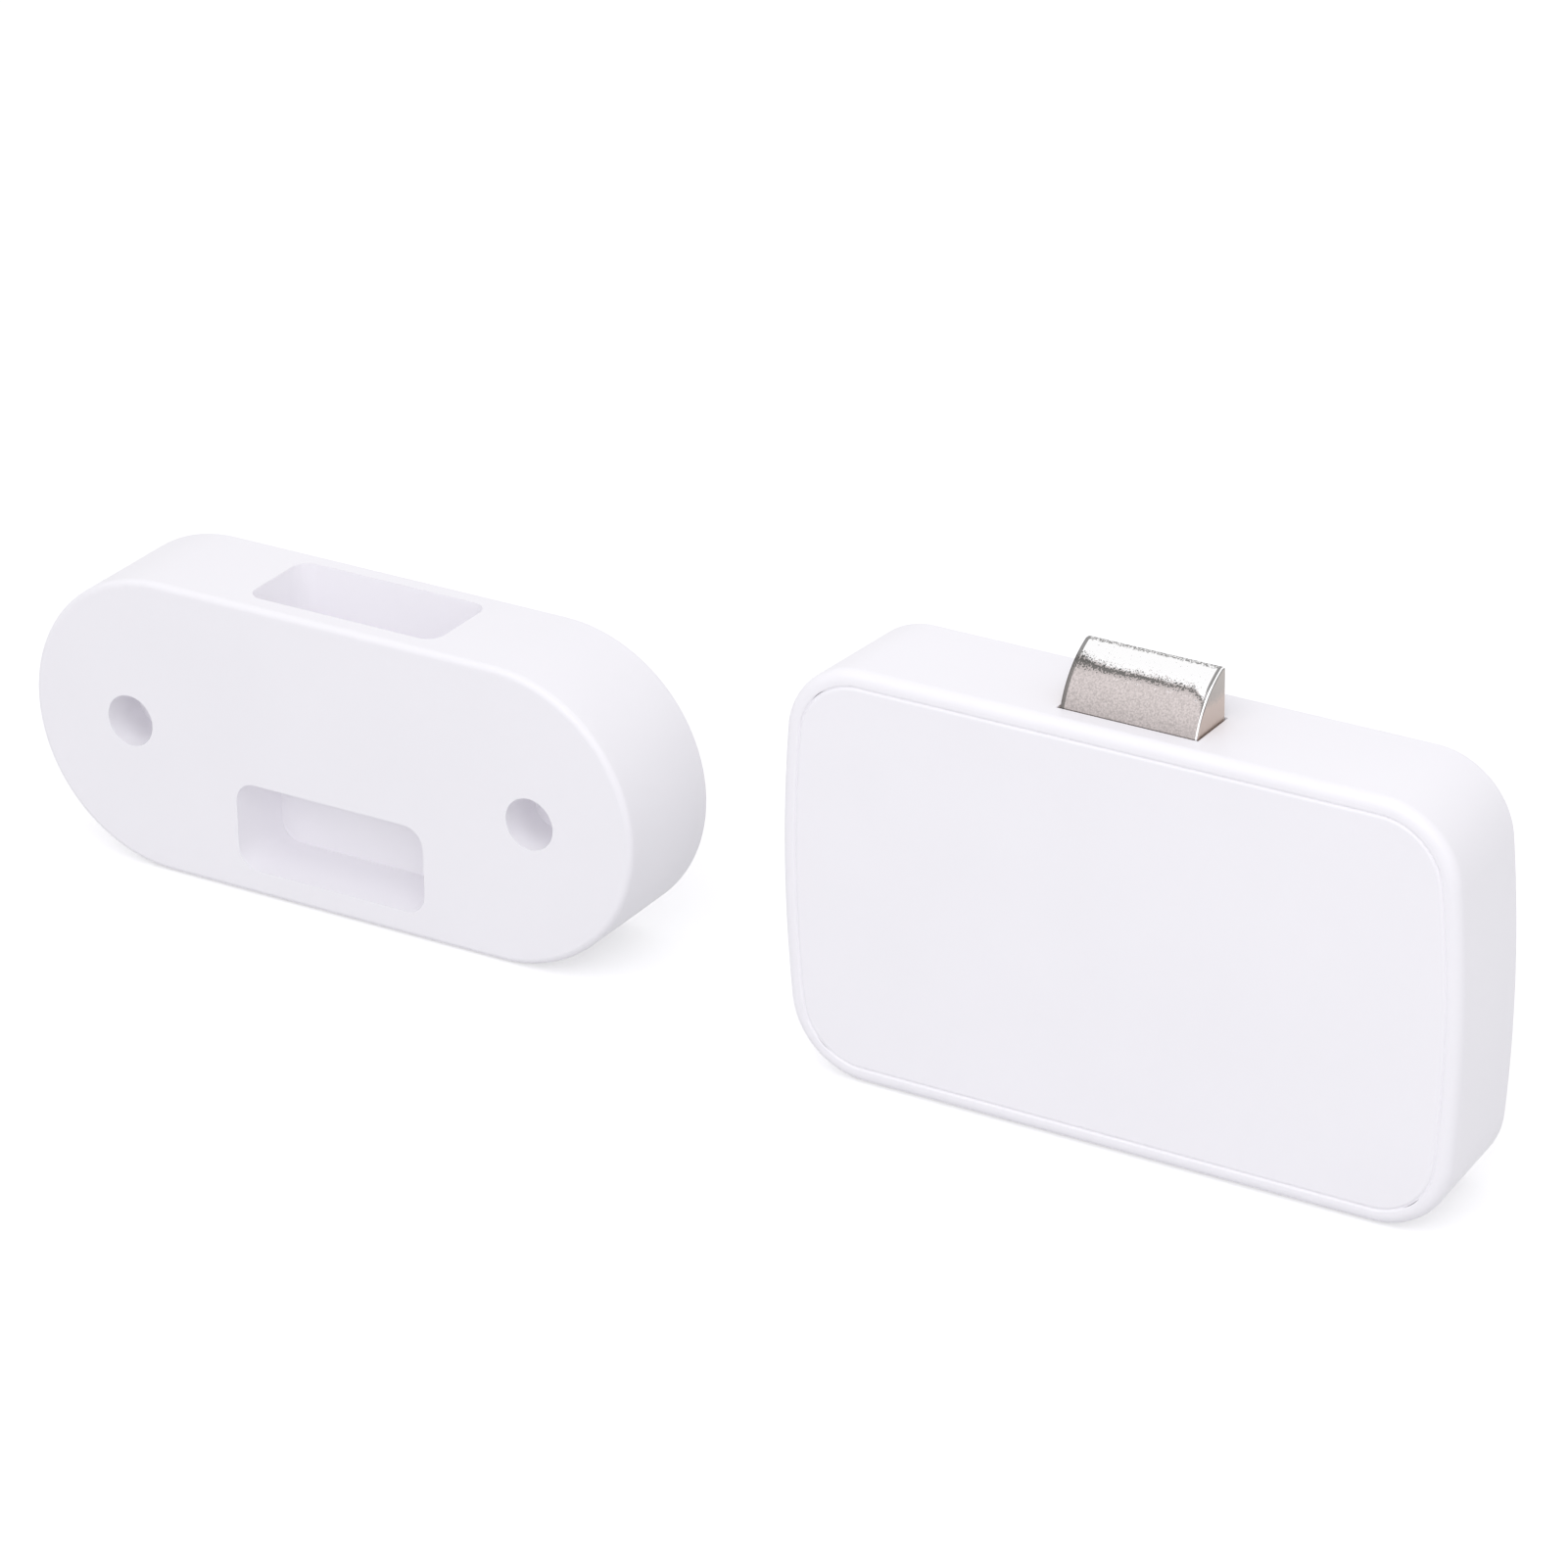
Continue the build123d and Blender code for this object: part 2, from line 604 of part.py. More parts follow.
def make_bolt():
    """The die-cast bolt: a ramped nose on a wider body that hangs under the carriage's hooks."""
    rise = case_height / 2
    tip = rise + BOLT_PROUD
    back = -bolt_back
    front = -bolt_front
    ridge = back - BOLT_NOSE_ROUND
    chord = math.hypot(ridge - front, BOLT_PROUD)
    middle_y = (ridge + front) / 2 - BOLT_RAMP_BULGE * BOLT_PROUD / chord
    middle_z = rise + BOLT_PROUD / 2 + BOLT_RAMP_BULGE * (ridge - front) / chord
    profile = Curve() + [
        Line((back, shoulder_top), (back, tip)),
        Line((back, tip), (ridge, tip)),
        ThreePointArc((ridge, tip), (middle_y, middle_z), (front, rise)),
        Line((front, rise), (front, shoulder_top)),
        Line((front, shoulder_top), (back, shoulder_top)),
    ]
    face = make_face(profile)
    corners = face.vertices().group_by(Axis.Y)[-1]
    face = fillet(corners, BOLT_NOSE_ROUND * 0.45)
    head = Pos(-BOLT_WIDTH / 2) * extrude(Plane.YZ * face, amount=BOLT_WIDTH)
    ends = head.faces().group_by(Axis.X)
    rims = [e for f in (ends[0][0], ends[-1][0]) for e in f.edges() if e.center().Z > rise - 1]
    head = fillet(rims, BOLT_EDGE_ROUND)
    body = block((-body_half, body_half), (bolt_back, carriage_front), (body_bottom, shoulder_top))
    body = chamfer(body.edges().filter_by(Axis.Z), BOLT_EDGE_ROUND)
    bore = upright(0, bolt_middle, SPRING_BORE_R, (body_bottom - 1, body_bottom + SPRING_BORE_DEPTH))
    return head + body - bore


def rack_face():
    """Rack teeth that point to the gear, with a space level with the gear's centre."""
    half = (rack_pitch / 2 - RACK_BACKLASH) / 2
    slope = math.tan(math.radians(RACK_ANGLE))
    root_x = rack_x - ROOT_FACTOR * RACK_MODULE
    tip_x = rack_x + TIP_FACTOR * RACK_MODULE
    root_half = half + ROOT_FACTOR * RACK_MODULE * slope
    tip_half = half - TIP_FACTOR * RACK_MODULE * slope
    base_x = carriage_half - CARRIAGE_WALL / 2
    low = gear_z - RACK_TEETH_BELOW * rack_pitch
    high = gear_z + RACK_TEETH_ABOVE * rack_pitch
    points = [(base_x, low), (root_x, low)]
    for k in range(-RACK_TEETH_BELOW, RACK_TEETH_ABOVE):
        centre = gear_z + (k + 0.5) * rack_pitch
        points += [(root_x, centre - root_half), (tip_x, centre - tip_half)]
        points += [(tip_x, centre + tip_half), (root_x, centre + root_half)]
    points += [(root_x, high), (base_x, high)]
    return make_face(Polyline(*points, close=True))


def make_carriage():
    """The moulded carriage: back plate, side walls, hooks over the bolt, spring floor and rack."""
    frame = block((-carriage_half, carriage_half), (CARRIAGE_BACK, carriage_front), (carriage_bottom, carriage_top))
    frame = chamfer(frame.edges().filter_by(Axis.Z), SLIDE_GAP)
    pocket_half = body_half + SLIDE_GAP
    mouth_half = BOLT_WIDTH / 2 + SLIDE_GAP
    back = bolt_back - SLIDE_GAP
    frame -= block((-pocket_half, pocket_half), (back, carriage_front + 1), (floor_top, hook_bottom))
    frame -= block((-mouth_half, mouth_half), (back, carriage_front + 1), (hook_bottom, carriage_top + 1))
    frame += upright(0, bolt_middle, PEG_R, (floor_top, floor_top + PEG_HEIGHT))
    frame -= upright(0, bolt_middle, MAGNET_R + FIXED_GAP, (carriage_bottom - 1, carriage_bottom + MAGNET_HEIGHT))
    depth = wheel_front + RACK_LAYER_GAP
    return frame + slab(rack_face(), depth, pinion_front - RACK_FRONT_GAP - depth)


def make_magnet():
    """Position magnet in the carriage's floor."""
    return upright(0, bolt_middle, MAGNET_R, (carriage_bottom, carriage_bottom + MAGNET_HEIGHT))


def make_latch_spring():
    """The spring that holds the bolt up in the carriage."""
    heights = (floor_top, body_bottom + SPRING_BORE_DEPTH)
    wire = spring("latch_spring", (SPRING_R, SPRING_R), SPRING_WIRE, heights, SPRING_TURNS)
    return Pos(0, -bolt_middle) * wire


# Drive


def make_gear():
    """Worm wheel with slanted teeth and the pinion in front of it, moulded as one gear."""
    lead_slope = worm_lead / (2 * math.pi * WORM_R)
    half_twist = math.degrees(lead_slope * WHEEL_THICKNESS / 2 / wheel_r)
    face = gear_face(WORM_MODULE, WHEEL_TEETH, WORM_ANGLE, WORM_BACKLASH, WORM_ROOT_FACTOR)
    space = 180 / WHEEL_TEETH
    ends = []
    for depth, turn in ((WHEEL_DEPTH, -half_twist), (wheel_front, half_twist)):
        ends.append(Plane.XZ.offset(depth) * (Pos(gear_x, gear_z) * Rot(0, 0, space + turn) * face))
    wheel = loft(ends, ruled=True)
    teeth = gear_face(RACK_MODULE, PINION_TEETH, RACK_ANGLE, RACK_BACKLASH, ROOT_FACTOR)
    pinion = slab(Pos(gear_x, gear_z) * teeth, wheel_front, PINION_THICKNESS)
    bore = rod(gear_x, gear_z, GEAR_PIN_R + RUN_GAP, (WHEEL_DEPTH - 1, pinion_front + 1))
    return wheel + pinion - bore


def make_gear_pin():
    """Steel pin that the gear turns on, held by the case's boss and the mechanism plate."""
    return rod(gear_x, gear_z, GEAR_PIN_R, (REAR_WALL, plate_front + FIXED_GAP))


def make_worm():
    """Single start right-hand worm: a thread lofted through sections round a drilled core."""
    root_r = WORM_R - WORM_ROOT_FACTOR * WORM_MODULE
    tip_r = WORM_R + TIP_FACTOR * WORM_MODULE
    slope = math.tan(math.radians(WORM_ANGLE))
    half = (worm_lead / 2 - WORM_BACKLASH) / 2
    sink = (root_r - SHAFT_R) / 4
    sections = []
    for k in range(WORM_TURNS * THREAD_STEPS + 1):
        turn = 2 * math.pi * k / THREAD_STEPS
        level = gear_z + worm_lead * (k / THREAD_STEPS - WORM_TURNS / 2)
        corners = []
        for radius, side in ((root_r - sink, -1), (tip_r, -1), (tip_r, 1), (root_r - sink, 1)):
            thick = half - (radius - WORM_R) * slope
            x = worm_x + radius * math.cos(turn)
            y = -wheel_middle + radius * math.sin(turn)
            corners.append((x, y, level + side * thick))
        sections.append(Face(Wire.make_polygon(corners)))
    ends = upright(worm_x, wheel_middle, tip_r + 1, (worm_bottom, worm_top))
    thread = loft(sections, ruled=True) & ends
    core = upright(worm_x, wheel_middle, root_r, (worm_bottom, worm_top))
    bore = upright(worm_x, wheel_middle, SHAFT_R + FIXED_GAP, (worm_bottom - 1, worm_top + 1))
    return core + thread - bore


def make_motor_shaft():
    """The motor's steel shaft, from inside the can to the bearing above the worm."""
    return upright(worm_x, wheel_middle, SHAFT_R, (motor_top - SHAFT_IN_MOTOR, bearing_top + SLIDE_GAP))


def motor_section(shrink):
    """Round can with two flats."""
    circle = Circle(MOTOR_WIDTH / 2 - shrink)
    return circle & Rectangle(MOTOR_WIDTH, MOTOR_THICKNESS - 2 * shrink)


def make_motor_can():
    """Steel motor can with its front bearing boss and the bore that the shaft runs in."""
    can = Pos(worm_x, -wheel_middle, motor_bottom) * extrude(motor_section(0), amount=MOTOR_LENGTH)
    can = chamfer(can.edges().group_by(Axis.Z)[-1], SLIDE_GAP)
    can += upright(worm_x, wheel_middle, MOTOR_BOSS_R, (motor_top, motor_top + MOTOR_BOSS_HEIGHT))
    low = motor_top - SHAFT_IN_MOTOR - SLIDE_GAP
    return can - upright(worm_x, wheel_middle, SHAFT_R + RUN_GAP, (low, motor_top + MOTOR_BOSS_HEIGHT + 1))


def make_motor_cap():
    """Plastic end cap under the can."""
    low = motor_bottom - MOTOR_CAP_HEIGHT
    return Pos(worm_x, -wheel_middle, low) * extrude(motor_section(MOTOR_CAP_INSET), amount=MOTOR_CAP_HEIGHT)


def make_motor_terminals():
    """Two tabs from the end cap to the face of the circuit board."""
    tabs = []
    for side in (-1, 1):
        x = worm_x + side * TERMINAL_SPACING / 2
        span = (x - TERMINAL_WIDTH / 2, x + TERMINAL_WIDTH / 2)
        low = board_right_top - TERMINAL_ON_BOARD
        depth = (board_front, board_front + TERMINAL_THICKNESS)
        tabs.append(block(span, depth, (low, motor_bottom - MOTOR_CAP_HEIGHT)))
    return Compound(tabs)


def make_cushion():
    """Rubber cushion between the motor and the mechanism plate."""
    width = MOTOR_WIDTH / 2 - CUSHION_INSET * 2
    face = Pos(worm_x, (motor_top + motor_bottom) / 2) * RectangleRounded(2 * width, MOTOR_LENGTH - 4, 1)
    back = wheel_middle + MOTOR_THICKNESS / 2
    return slab(face, back, plate_back - back)


def make_plate():
    """Steel plate over the drive: screwed down at four corners, notched for the cover's post."""
    left = left_boss_x - PLATE_MARGIN
    right = plate_screws[2][0] + PLATE_MARGIN
    low = plate_screws[1][1] - PLATE_MARGIN
    high = carriage_top
    face = Pos((left + right) / 2, (low + high) / 2) * RectangleRounded(right - left, high - low, PLATE_CORNER)
    notch_right = left_boss_x + POST_R + PLATE_MARGIN / 2
    notch_low = cover_posts[0][1] - PLATE_MARGIN * 1.5
    face -= Pos((left + notch_right) / 2 - 1, (notch_low + high) / 2 + 1) * RectangleRounded(
        notch_right - left + 2, high - notch_low + 2, POST_R
    )
    plate = slab(face, plate_back, PLATE_THICKNESS)
    for x, z in plate_screws:
        plate -= rod(x, z, SCREW_R + RUN_GAP, (plate_back - 1, plate_front + 1))
    return plate - rod(gear_x, gear_z, GEAR_PIN_R + FIXED_GAP, (plate_back - 1, plate_front + 1))


def screws(places, seat, length):
    """Small pan head screws with a cross recess, driven in from the front."""
    pieces = []
    for x, z in places:
        screw = rod(x, z, SCREW_R, (seat - length, seat))
        head = rod(x, z, SCREW_HEAD_R, (seat, seat + SCREW_HEAD_HEIGHT))
        screw += chamfer(head.edges().group_by(Axis.Y)[0], SCREW_HEAD_HEIGHT / 3)
        top = (seat + SCREW_HEAD_HEIGHT - SCREW_SLOT_DEPTH, seat + SCREW_HEAD_HEIGHT + 1)
        for wide, tall in ((SCREW_HEAD_R, SCREW_SLOT), (SCREW_SLOT, SCREW_HEAD_R)):
            screw -= block((x - wide / 2, x + wide / 2), top, (z - tall / 2, z + tall / 2))
        pieces.append(screw)
    return Compound(pieces)


# Batteries


def make_cell(index):
    """One cell. The left one stands tip up, the right one tip down."""
    body_length = CELL_LENGTH - CELL_TIP_HEIGHT
    can = Cylinder(CELL_R, body_length, align=(Align.CENTER, Align.CENTER, Align.MIN))
    can = chamfer(can.edges().filter_by(GeomType.CIRCLE), CELL_EDGE_ROUND)
    tip = Pos(0, 0, body_length) * Cylinder(
        CELL_TIP_R, CELL_TIP_HEIGHT, align=(Align.CENTER, Align.CENTER, Align.MIN)
    )
    cell = can + tip
    if index == 1:
        cell = Rot(180, 0, 0) * cell
        return Pos(cell_x[1], -cell_depth, -cell_end_z) * cell
    return Pos(cell_x[0], -cell_depth, cell_end_z) * cell


def make_cell_spring(index):
    """Cone spring at a cell's flat end: under the left cell, above the right one."""
    length = cell_end_z + contact_z
    wire = spring("battery_spring", CELL_SPRING_R, CELL_SPRING_WIRE, (0, length), CELL_SPRING_TURNS)
    if index == 1:
        wire = Rot(180, 0, 0) * wire
        return Pos(cell_x[1], -cell_depth, contact_z) * wire
    return Pos(cell_x[0], -cell_depth, -contact_z) * wire


def contact_plate(x, depth, side):
    """A flat contact on the bay's top wall, side 1, or bottom wall, side -1."""
    return block(x, depth, sorted((side * contact_z, side * cavity_top)))


def make_bridge():
    """The contact at the top, which joins the two cells."""
    return contact_plate((contact_left, cell_x[1] + CONTACT_WIDTH / 2), CONTACT_DEPTH, 1)


def make_bottom_contact(index):
    """Contact under one cell, with a strip that runs to the circuit board and turns up against it."""
    half = CONTACT_WIDTH / 2
    start = (CONTACT_DEPTH[0], CONTACT_FREE_DEPTH)[index]
    strip_depth = (CONTACT_DEPTH[0], STRIP_FRONT_DEPTH)[index]
    end = board_left + STRIP_WIDTH + SLIDE_GAP
    left = max(contact_left, cell_x[index] - half)
    plate = contact_plate((left, cell_x[index] + half), (start, CONTACT_DEPTH[1]), -1)
    plate += contact_plate((cell_x[index] + half - 1, end), (strip_depth, strip_depth + STRIP_WIDTH), -1)
    face = (BOARD_BACK - CONTACT_THICKNESS, board_front)[index]
    cross = sorted((strip_depth, face + CONTACT_THICKNESS * (1 - index)))
    plate += contact_plate((end - STRIP_WIDTH, end), cross, -1)
    turned = (face, face + CONTACT_THICKNESS)
    return plate + block((end - STRIP_WIDTH, end), turned, (-contact_z, board_bottom + STRIP_WIDTH))


# Circuit board and what it carries


def make_board():
    """Stepped board on three bosses."""
    points = [
        (board_left, board_bottom),
        (board_left, board_left_top),
        (BOARD_STEP_X, board_left_top),
        (BOARD_STEP_X, board_right_top),
        (board_right, board_right_top),
        (board_right, board_bottom),
    ]
    face = make_face(Polyline(*points, close=True))
    face = fillet(face.vertices().sort_by_distance((board_right, board_bottom, 0))[0], BOARD_CORNER)
    board = slab(face, BOARD_BACK, BOARD_THICKNESS)
    for x, z in board_screws:
        board -= rod(x, z, SCREW_R + RUN_GAP, (BOARD_BACK - 1, board_front + 1))
    return board


def on_board(place, size):
    """A block with eased front edges on the board's face."""
    x, z = place
    width, height, thickness = size
    piece = block(
        (x - width / 2, x + width / 2),
        (board_front, board_front + thickness),
        (z - height / 2, z + height / 2),
    )
    return chamfer(piece.edges().group_by(Axis.Y)[0], thickness / 8)


def make_buzzer():
    """Round sounder with its port."""
    x, z = buzzer_place
    can = rod(x, z, BUZZER_R, (board_front, board_front + BUZZER_HEIGHT))
    can = chamfer(can.edges().group_by(Axis.Y)[0], BUZZER_HEIGHT / 8)
    return can - rod(x, z, BUZZER_R / 5, (board_front + BUZZER_HEIGHT / 2, board_front + BUZZER_HEIGHT + 1))


def make_switch():
    """Square switch body, bored for the button's stem."""
    x, z = switch_place
    front = board_front + SWITCH_HEIGHT
    body = on_board(switch_place, (SWITCH_SIZE, SWITCH_SIZE, SWITCH_HEIGHT))
    low = front - BUTTON_IN_SWITCH - BUTTON_TRAVEL - SLIDE_GAP
    return body - rod(x, z, BUTTON_R + BUTTON_GAP, (low, front + 1))


def make_button():
    """Pairing button: a stem in the switch, with an eased end."""
    x, z = switch_place
    low = board_front + SWITCH_HEIGHT - BUTTON_IN_SWITCH
    stem = rod(x, z, BUTTON_R, (low, BUTTON_FRONT))
    return chamfer(stem.edges().group_by(Axis.Y)[0], BUTTON_R / 4)


# Strike


def strike_slab(face, depth, thickness):
    """Carries an outline forward from a depth in front of the strike's rear face."""
    place = Pos(strike_x, STRIKE_REAR_Y, strike_z)
    return place * extrude(Plane.XZ.offset(depth) * face, amount=thickness)


def keeper_slot(wall, open_by):
    """The pocket in the top edge, grown by a wall, and run out past the edge."""
    depth = STRIKE_DEPTH - SLOT_FRONT_WALL - SLOT_REAR_WALL
    middle = SLOT_REAR_WALL + depth / 2
    height = SLOT_HEIGHT + wall + open_by
    face = RectangleRounded(KEEPER_WIDTH + 2 * wall, depth + 2 * wall, SLOT_CORNER + wall)
    low = strike_half - SLOT_HEIGHT - wall
    place = Pos(strike_x + SLOT_SHIFT, STRIKE_REAR_Y - middle, strike_z + low)
    return place * extrude(face, amount=height)


def keeper_window(wall, open_by):
    """The pocket in the front face, grown by a wall, and run out past the face."""
    middle = WINDOW_TOP - WINDOW_HEIGHT / 2
    face = Pos(0, middle) * RectangleRounded(
        KEEPER_WIDTH + 2 * wall, WINDOW_HEIGHT + 2 * wall, WINDOW_CORNER + wall
    )
    return strike_slab(face, STRIKE_DEPTH - WINDOW_DEPTH - wall, WINDOW_DEPTH + wall + open_by)


def strike_holes(side):
    """A screw hole with the wide bore that takes the screw's head."""
    place = Pos(side * STRIKE_HOLE_SPACING / 2, 0)
    hole = strike_slab(place * Circle(STRIKE_HOLE_R), -1, STRIKE_DEPTH + 2)
    return hole + strike_slab(place * Circle(STRIKE_BORE_R), STRIKE_DEPTH - STRIKE_BORE_DEPTH, STRIKE_DEPTH)


def strike_towers():
    """Tubes round the screw holes, and ribs from them and the pockets to the wall."""
    towers = Part()
    reach = STRIKE_DEPTH - STRIKE_WALL
    for side in (-1, 1):
        x = side * STRIKE_HOLE_SPACING / 2
        towers += strike_slab(Pos(x, 0) * Circle(STRIKE_BORE_R + TOWER_WALL), 0, reach + 1)
        end = side * (STRIKE_LENGTH - STRIKE_WALL) / 2
        cross_rib = Pos((KEEPER_WIDTH / 2 * side + end) / 2, 0) * Rectangle(
            abs(end) - KEEPER_WIDTH / 2, RIB_THICKNESS
        )
        towers += strike_slab(cross_rib, 0, reach + 1)
        pocket_rib = Pos(side * KEEPER_WIDTH / 2, 0) * Rectangle(RIB_THICKNESS, STRIKE_HEIGHT - STRIKE_WALL)
        towers += strike_slab(pocket_rib, 0, reach + 1)
    return towers


def make_strike():
    """The strike: a shell open at the rear, with two keeper pockets, screw towers and ribs."""
    body = strike_slab(SlotOverall(STRIKE_LENGTH, STRIKE_HEIGHT), 0, STRIKE_DEPTH)
    body = fillet(body.edges().group_by(Axis.Y)[0], STRIKE_FRONT_ROUND)
    body = fillet(body.edges().group_by(Axis.Y)[-1], STRIKE_REAR_ROUND)
    hollow = SlotOverall(STRIKE_LENGTH - 2 * STRIKE_WALL, STRIKE_HEIGHT - 2 * STRIKE_WALL)
    body -= strike_slab(hollow, -1, STRIKE_DEPTH - STRIKE_WALL + 1)
    body += strike_towers()
    envelope = strike_slab(SlotOverall(STRIKE_LENGTH - 1, STRIKE_HEIGHT - 1), 0, STRIKE_DEPTH - 1)
    body += keeper_slot(POCKET_WALL, 0) & envelope
    body += keeper_window(POCKET_WALL, 0) & envelope
    body -= keeper_slot(0, 1)
    body -= keeper_window(0, 1)
    for side in (-1, 1):
        body -= strike_holes(side)
    return body


def main():
    """Builds each piece and writes it to its own file."""
    board_parts = {
        "radio_module": (radio_place, RADIO_SIZE),
        "controller_chip": (chip_place, CHIP_SIZE),
        "hall_sensor": (hall_place, HALL_SIZE),
        "status_light": (light_place, LIGHT_SIZE),
    }
    pieces = {
        "case": make_case(),
        "front_cover": make_cover(),
        "adhesive_pad": make_pad(),
        "latch_bolt": make_bolt(),
        "bolt_carriage": make_carriage(),
        "carriage_magnet": make_magnet(),
        "latch_spring": make_latch_spring(),
        "worm_wheel": make_gear(),
        "gear_pin": make_gear_pin(),
        "worm": make_worm(),
        "motor_shaft": make_motor_shaft(),
        "motor_can": make_motor_can(),
        "motor_cap": make_motor_cap(),
        "motor_terminals": make_motor_terminals(),
        "motor_cushion": make_cushion(),
        "mechanism_plate": make_plate(),
        "plate_screws": screws(plate_screws, plate_front, SCREW_LENGTH),
        "battery_cell_left": make_cell(0),
        "battery_cell_right": make_cell(1),
        "battery_spring_left": make_cell_spring(0),
        "battery_spring_right": make_cell_spring(1),
        "contact_bridge": make_bridge(),
        "contact_negative": make_bottom_contact(0),
        "contact_positive": make_bottom_contact(1),
        "circuit_board": make_board(),
        "board_screws": screws(board_screws, board_front, SCREW_LENGTH),
        "buzzer": make_buzzer(),
        "pairing_switch": make_switch(),
        "pairing_button": make_button(),
        "strike_body": make_strike(),
    }
    for name, (place, size) in board_parts.items():
        pieces[name] = on_board(place, size)
    os.makedirs("parts", exist_ok=True)
    for name, piece in pieces.items():
        export_step(piece, os.path.join("parts", name + ".step"))
        print(name, len(piece.solids()), "solid", round(piece.volume), "mm3")


main()
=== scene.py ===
"""Looks for a battery drawer lock and its strike block.

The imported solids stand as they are. This script gives each one its finish, adds the fine
pieces that the solids leave out, and sets the floor, the light and the camera.
"""

from __future__ import annotations

import logging
import math
from dataclasses import dataclass
from enum import Enum
from functools import cache
from typing import Callable, Mapping, Protocol, Sequence

import bmesh
import bpy
import numpy as np
from mathutils import Matrix, Vector


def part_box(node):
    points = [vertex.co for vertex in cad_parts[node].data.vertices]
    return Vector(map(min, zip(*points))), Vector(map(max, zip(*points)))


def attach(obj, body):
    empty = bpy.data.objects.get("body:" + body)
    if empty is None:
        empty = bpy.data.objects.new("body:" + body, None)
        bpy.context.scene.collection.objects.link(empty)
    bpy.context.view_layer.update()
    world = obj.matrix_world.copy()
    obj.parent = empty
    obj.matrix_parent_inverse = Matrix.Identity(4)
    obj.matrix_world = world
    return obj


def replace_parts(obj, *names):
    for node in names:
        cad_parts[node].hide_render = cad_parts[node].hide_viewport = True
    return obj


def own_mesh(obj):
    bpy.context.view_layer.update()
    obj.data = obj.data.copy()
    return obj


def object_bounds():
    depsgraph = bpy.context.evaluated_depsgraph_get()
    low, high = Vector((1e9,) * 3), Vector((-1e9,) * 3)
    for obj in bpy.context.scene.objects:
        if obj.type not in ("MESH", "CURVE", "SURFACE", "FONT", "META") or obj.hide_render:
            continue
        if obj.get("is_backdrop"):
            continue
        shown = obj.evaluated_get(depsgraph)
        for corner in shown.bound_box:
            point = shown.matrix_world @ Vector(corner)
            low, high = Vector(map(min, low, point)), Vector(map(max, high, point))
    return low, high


Colour = tuple[float, float, float]
Triple = tuple[float, float, float]
Pair = tuple[float, float]
LOG = logging.getLogger("lock")
MM = 0.001
MICRON = 0.000001
FULL_TURN = 2 * math.pi
QUARTER_TURN = math.pi / 2

BLACK: Colour = (0.022, 0.022, 0.025)
BRASS: Colour = (0.80, 0.58, 0.26)
DAYLIGHT: Colour = (0.977, 0.971, 1.0)
PLAIN_WHITE: Colour = (1.0, 1.0, 1.0)
STEEL: Colour = (0.60, 0.61, 0.62)
TIN: Colour = (0.72, 0.72, 0.70)
WHITE: Colour = (0.935, 0.925, 0.948)


# Shader tools


def maths(operation: str, flip: bool = False) -> Callable[..., Sock]:
    """A method that puts a socket and another value through a Math node.

    Args:
        operation: the Math node's operation.
        flip: takes the other value first.

    Returns:
        The method.
    """

    def method(self: Sock, other: Value = 0.0) -> Sock:
        """The Math node's result."""
        pair = (other, self) if flip else (self, other)
        return self.nodes.out("ShaderNodeMath", dict(enumerate(pair)), operation=operation)

    return method


class Sock:
    """A shader socket that takes part in sums, so that shader maths reads as Python.

    above and below give 1 or 0, least and most the smaller and the larger of two, size the value
    without its sign, and wrap the remainder of a floored division.
    """

    __add__ = __radd__ = maths("ADD")
    __sub__ = maths("SUBTRACT")
    __rsub__ = maths("SUBTRACT", flip=True)
    __mul__ = __rmul__ = maths("MULTIPLY")
    __truediv__ = maths("DIVIDE")
    above = maths("GREATER_THAN")
    below = maths("LESS_THAN")
    least = maths("MINIMUM")
    most = maths("MAXIMUM")
    size = maths("ABSOLUTE")
    wrap = maths("FLOORED_MODULO")

    def __init__(self, nodes: Nodes, link: bpy.types.NodeSocket) -> None:
        """Keeps the nodes that the socket belongs to, and the socket."""
        self.nodes = nodes
        self.link = link

    def ramp(self, low: float, high: float) -> Sock:
        """0 at low and 1 at high, straight between them and held beyond."""
        values = {"Value": self, "From Min": low, "From Max": high, "To Min": 0.0, "To Max": 1.0}
        return self.nodes.out("ShaderNodeMapRange", values, clamp=True)


Value = float | Colour | Sock
Inputs = Mapping[str | int, object]


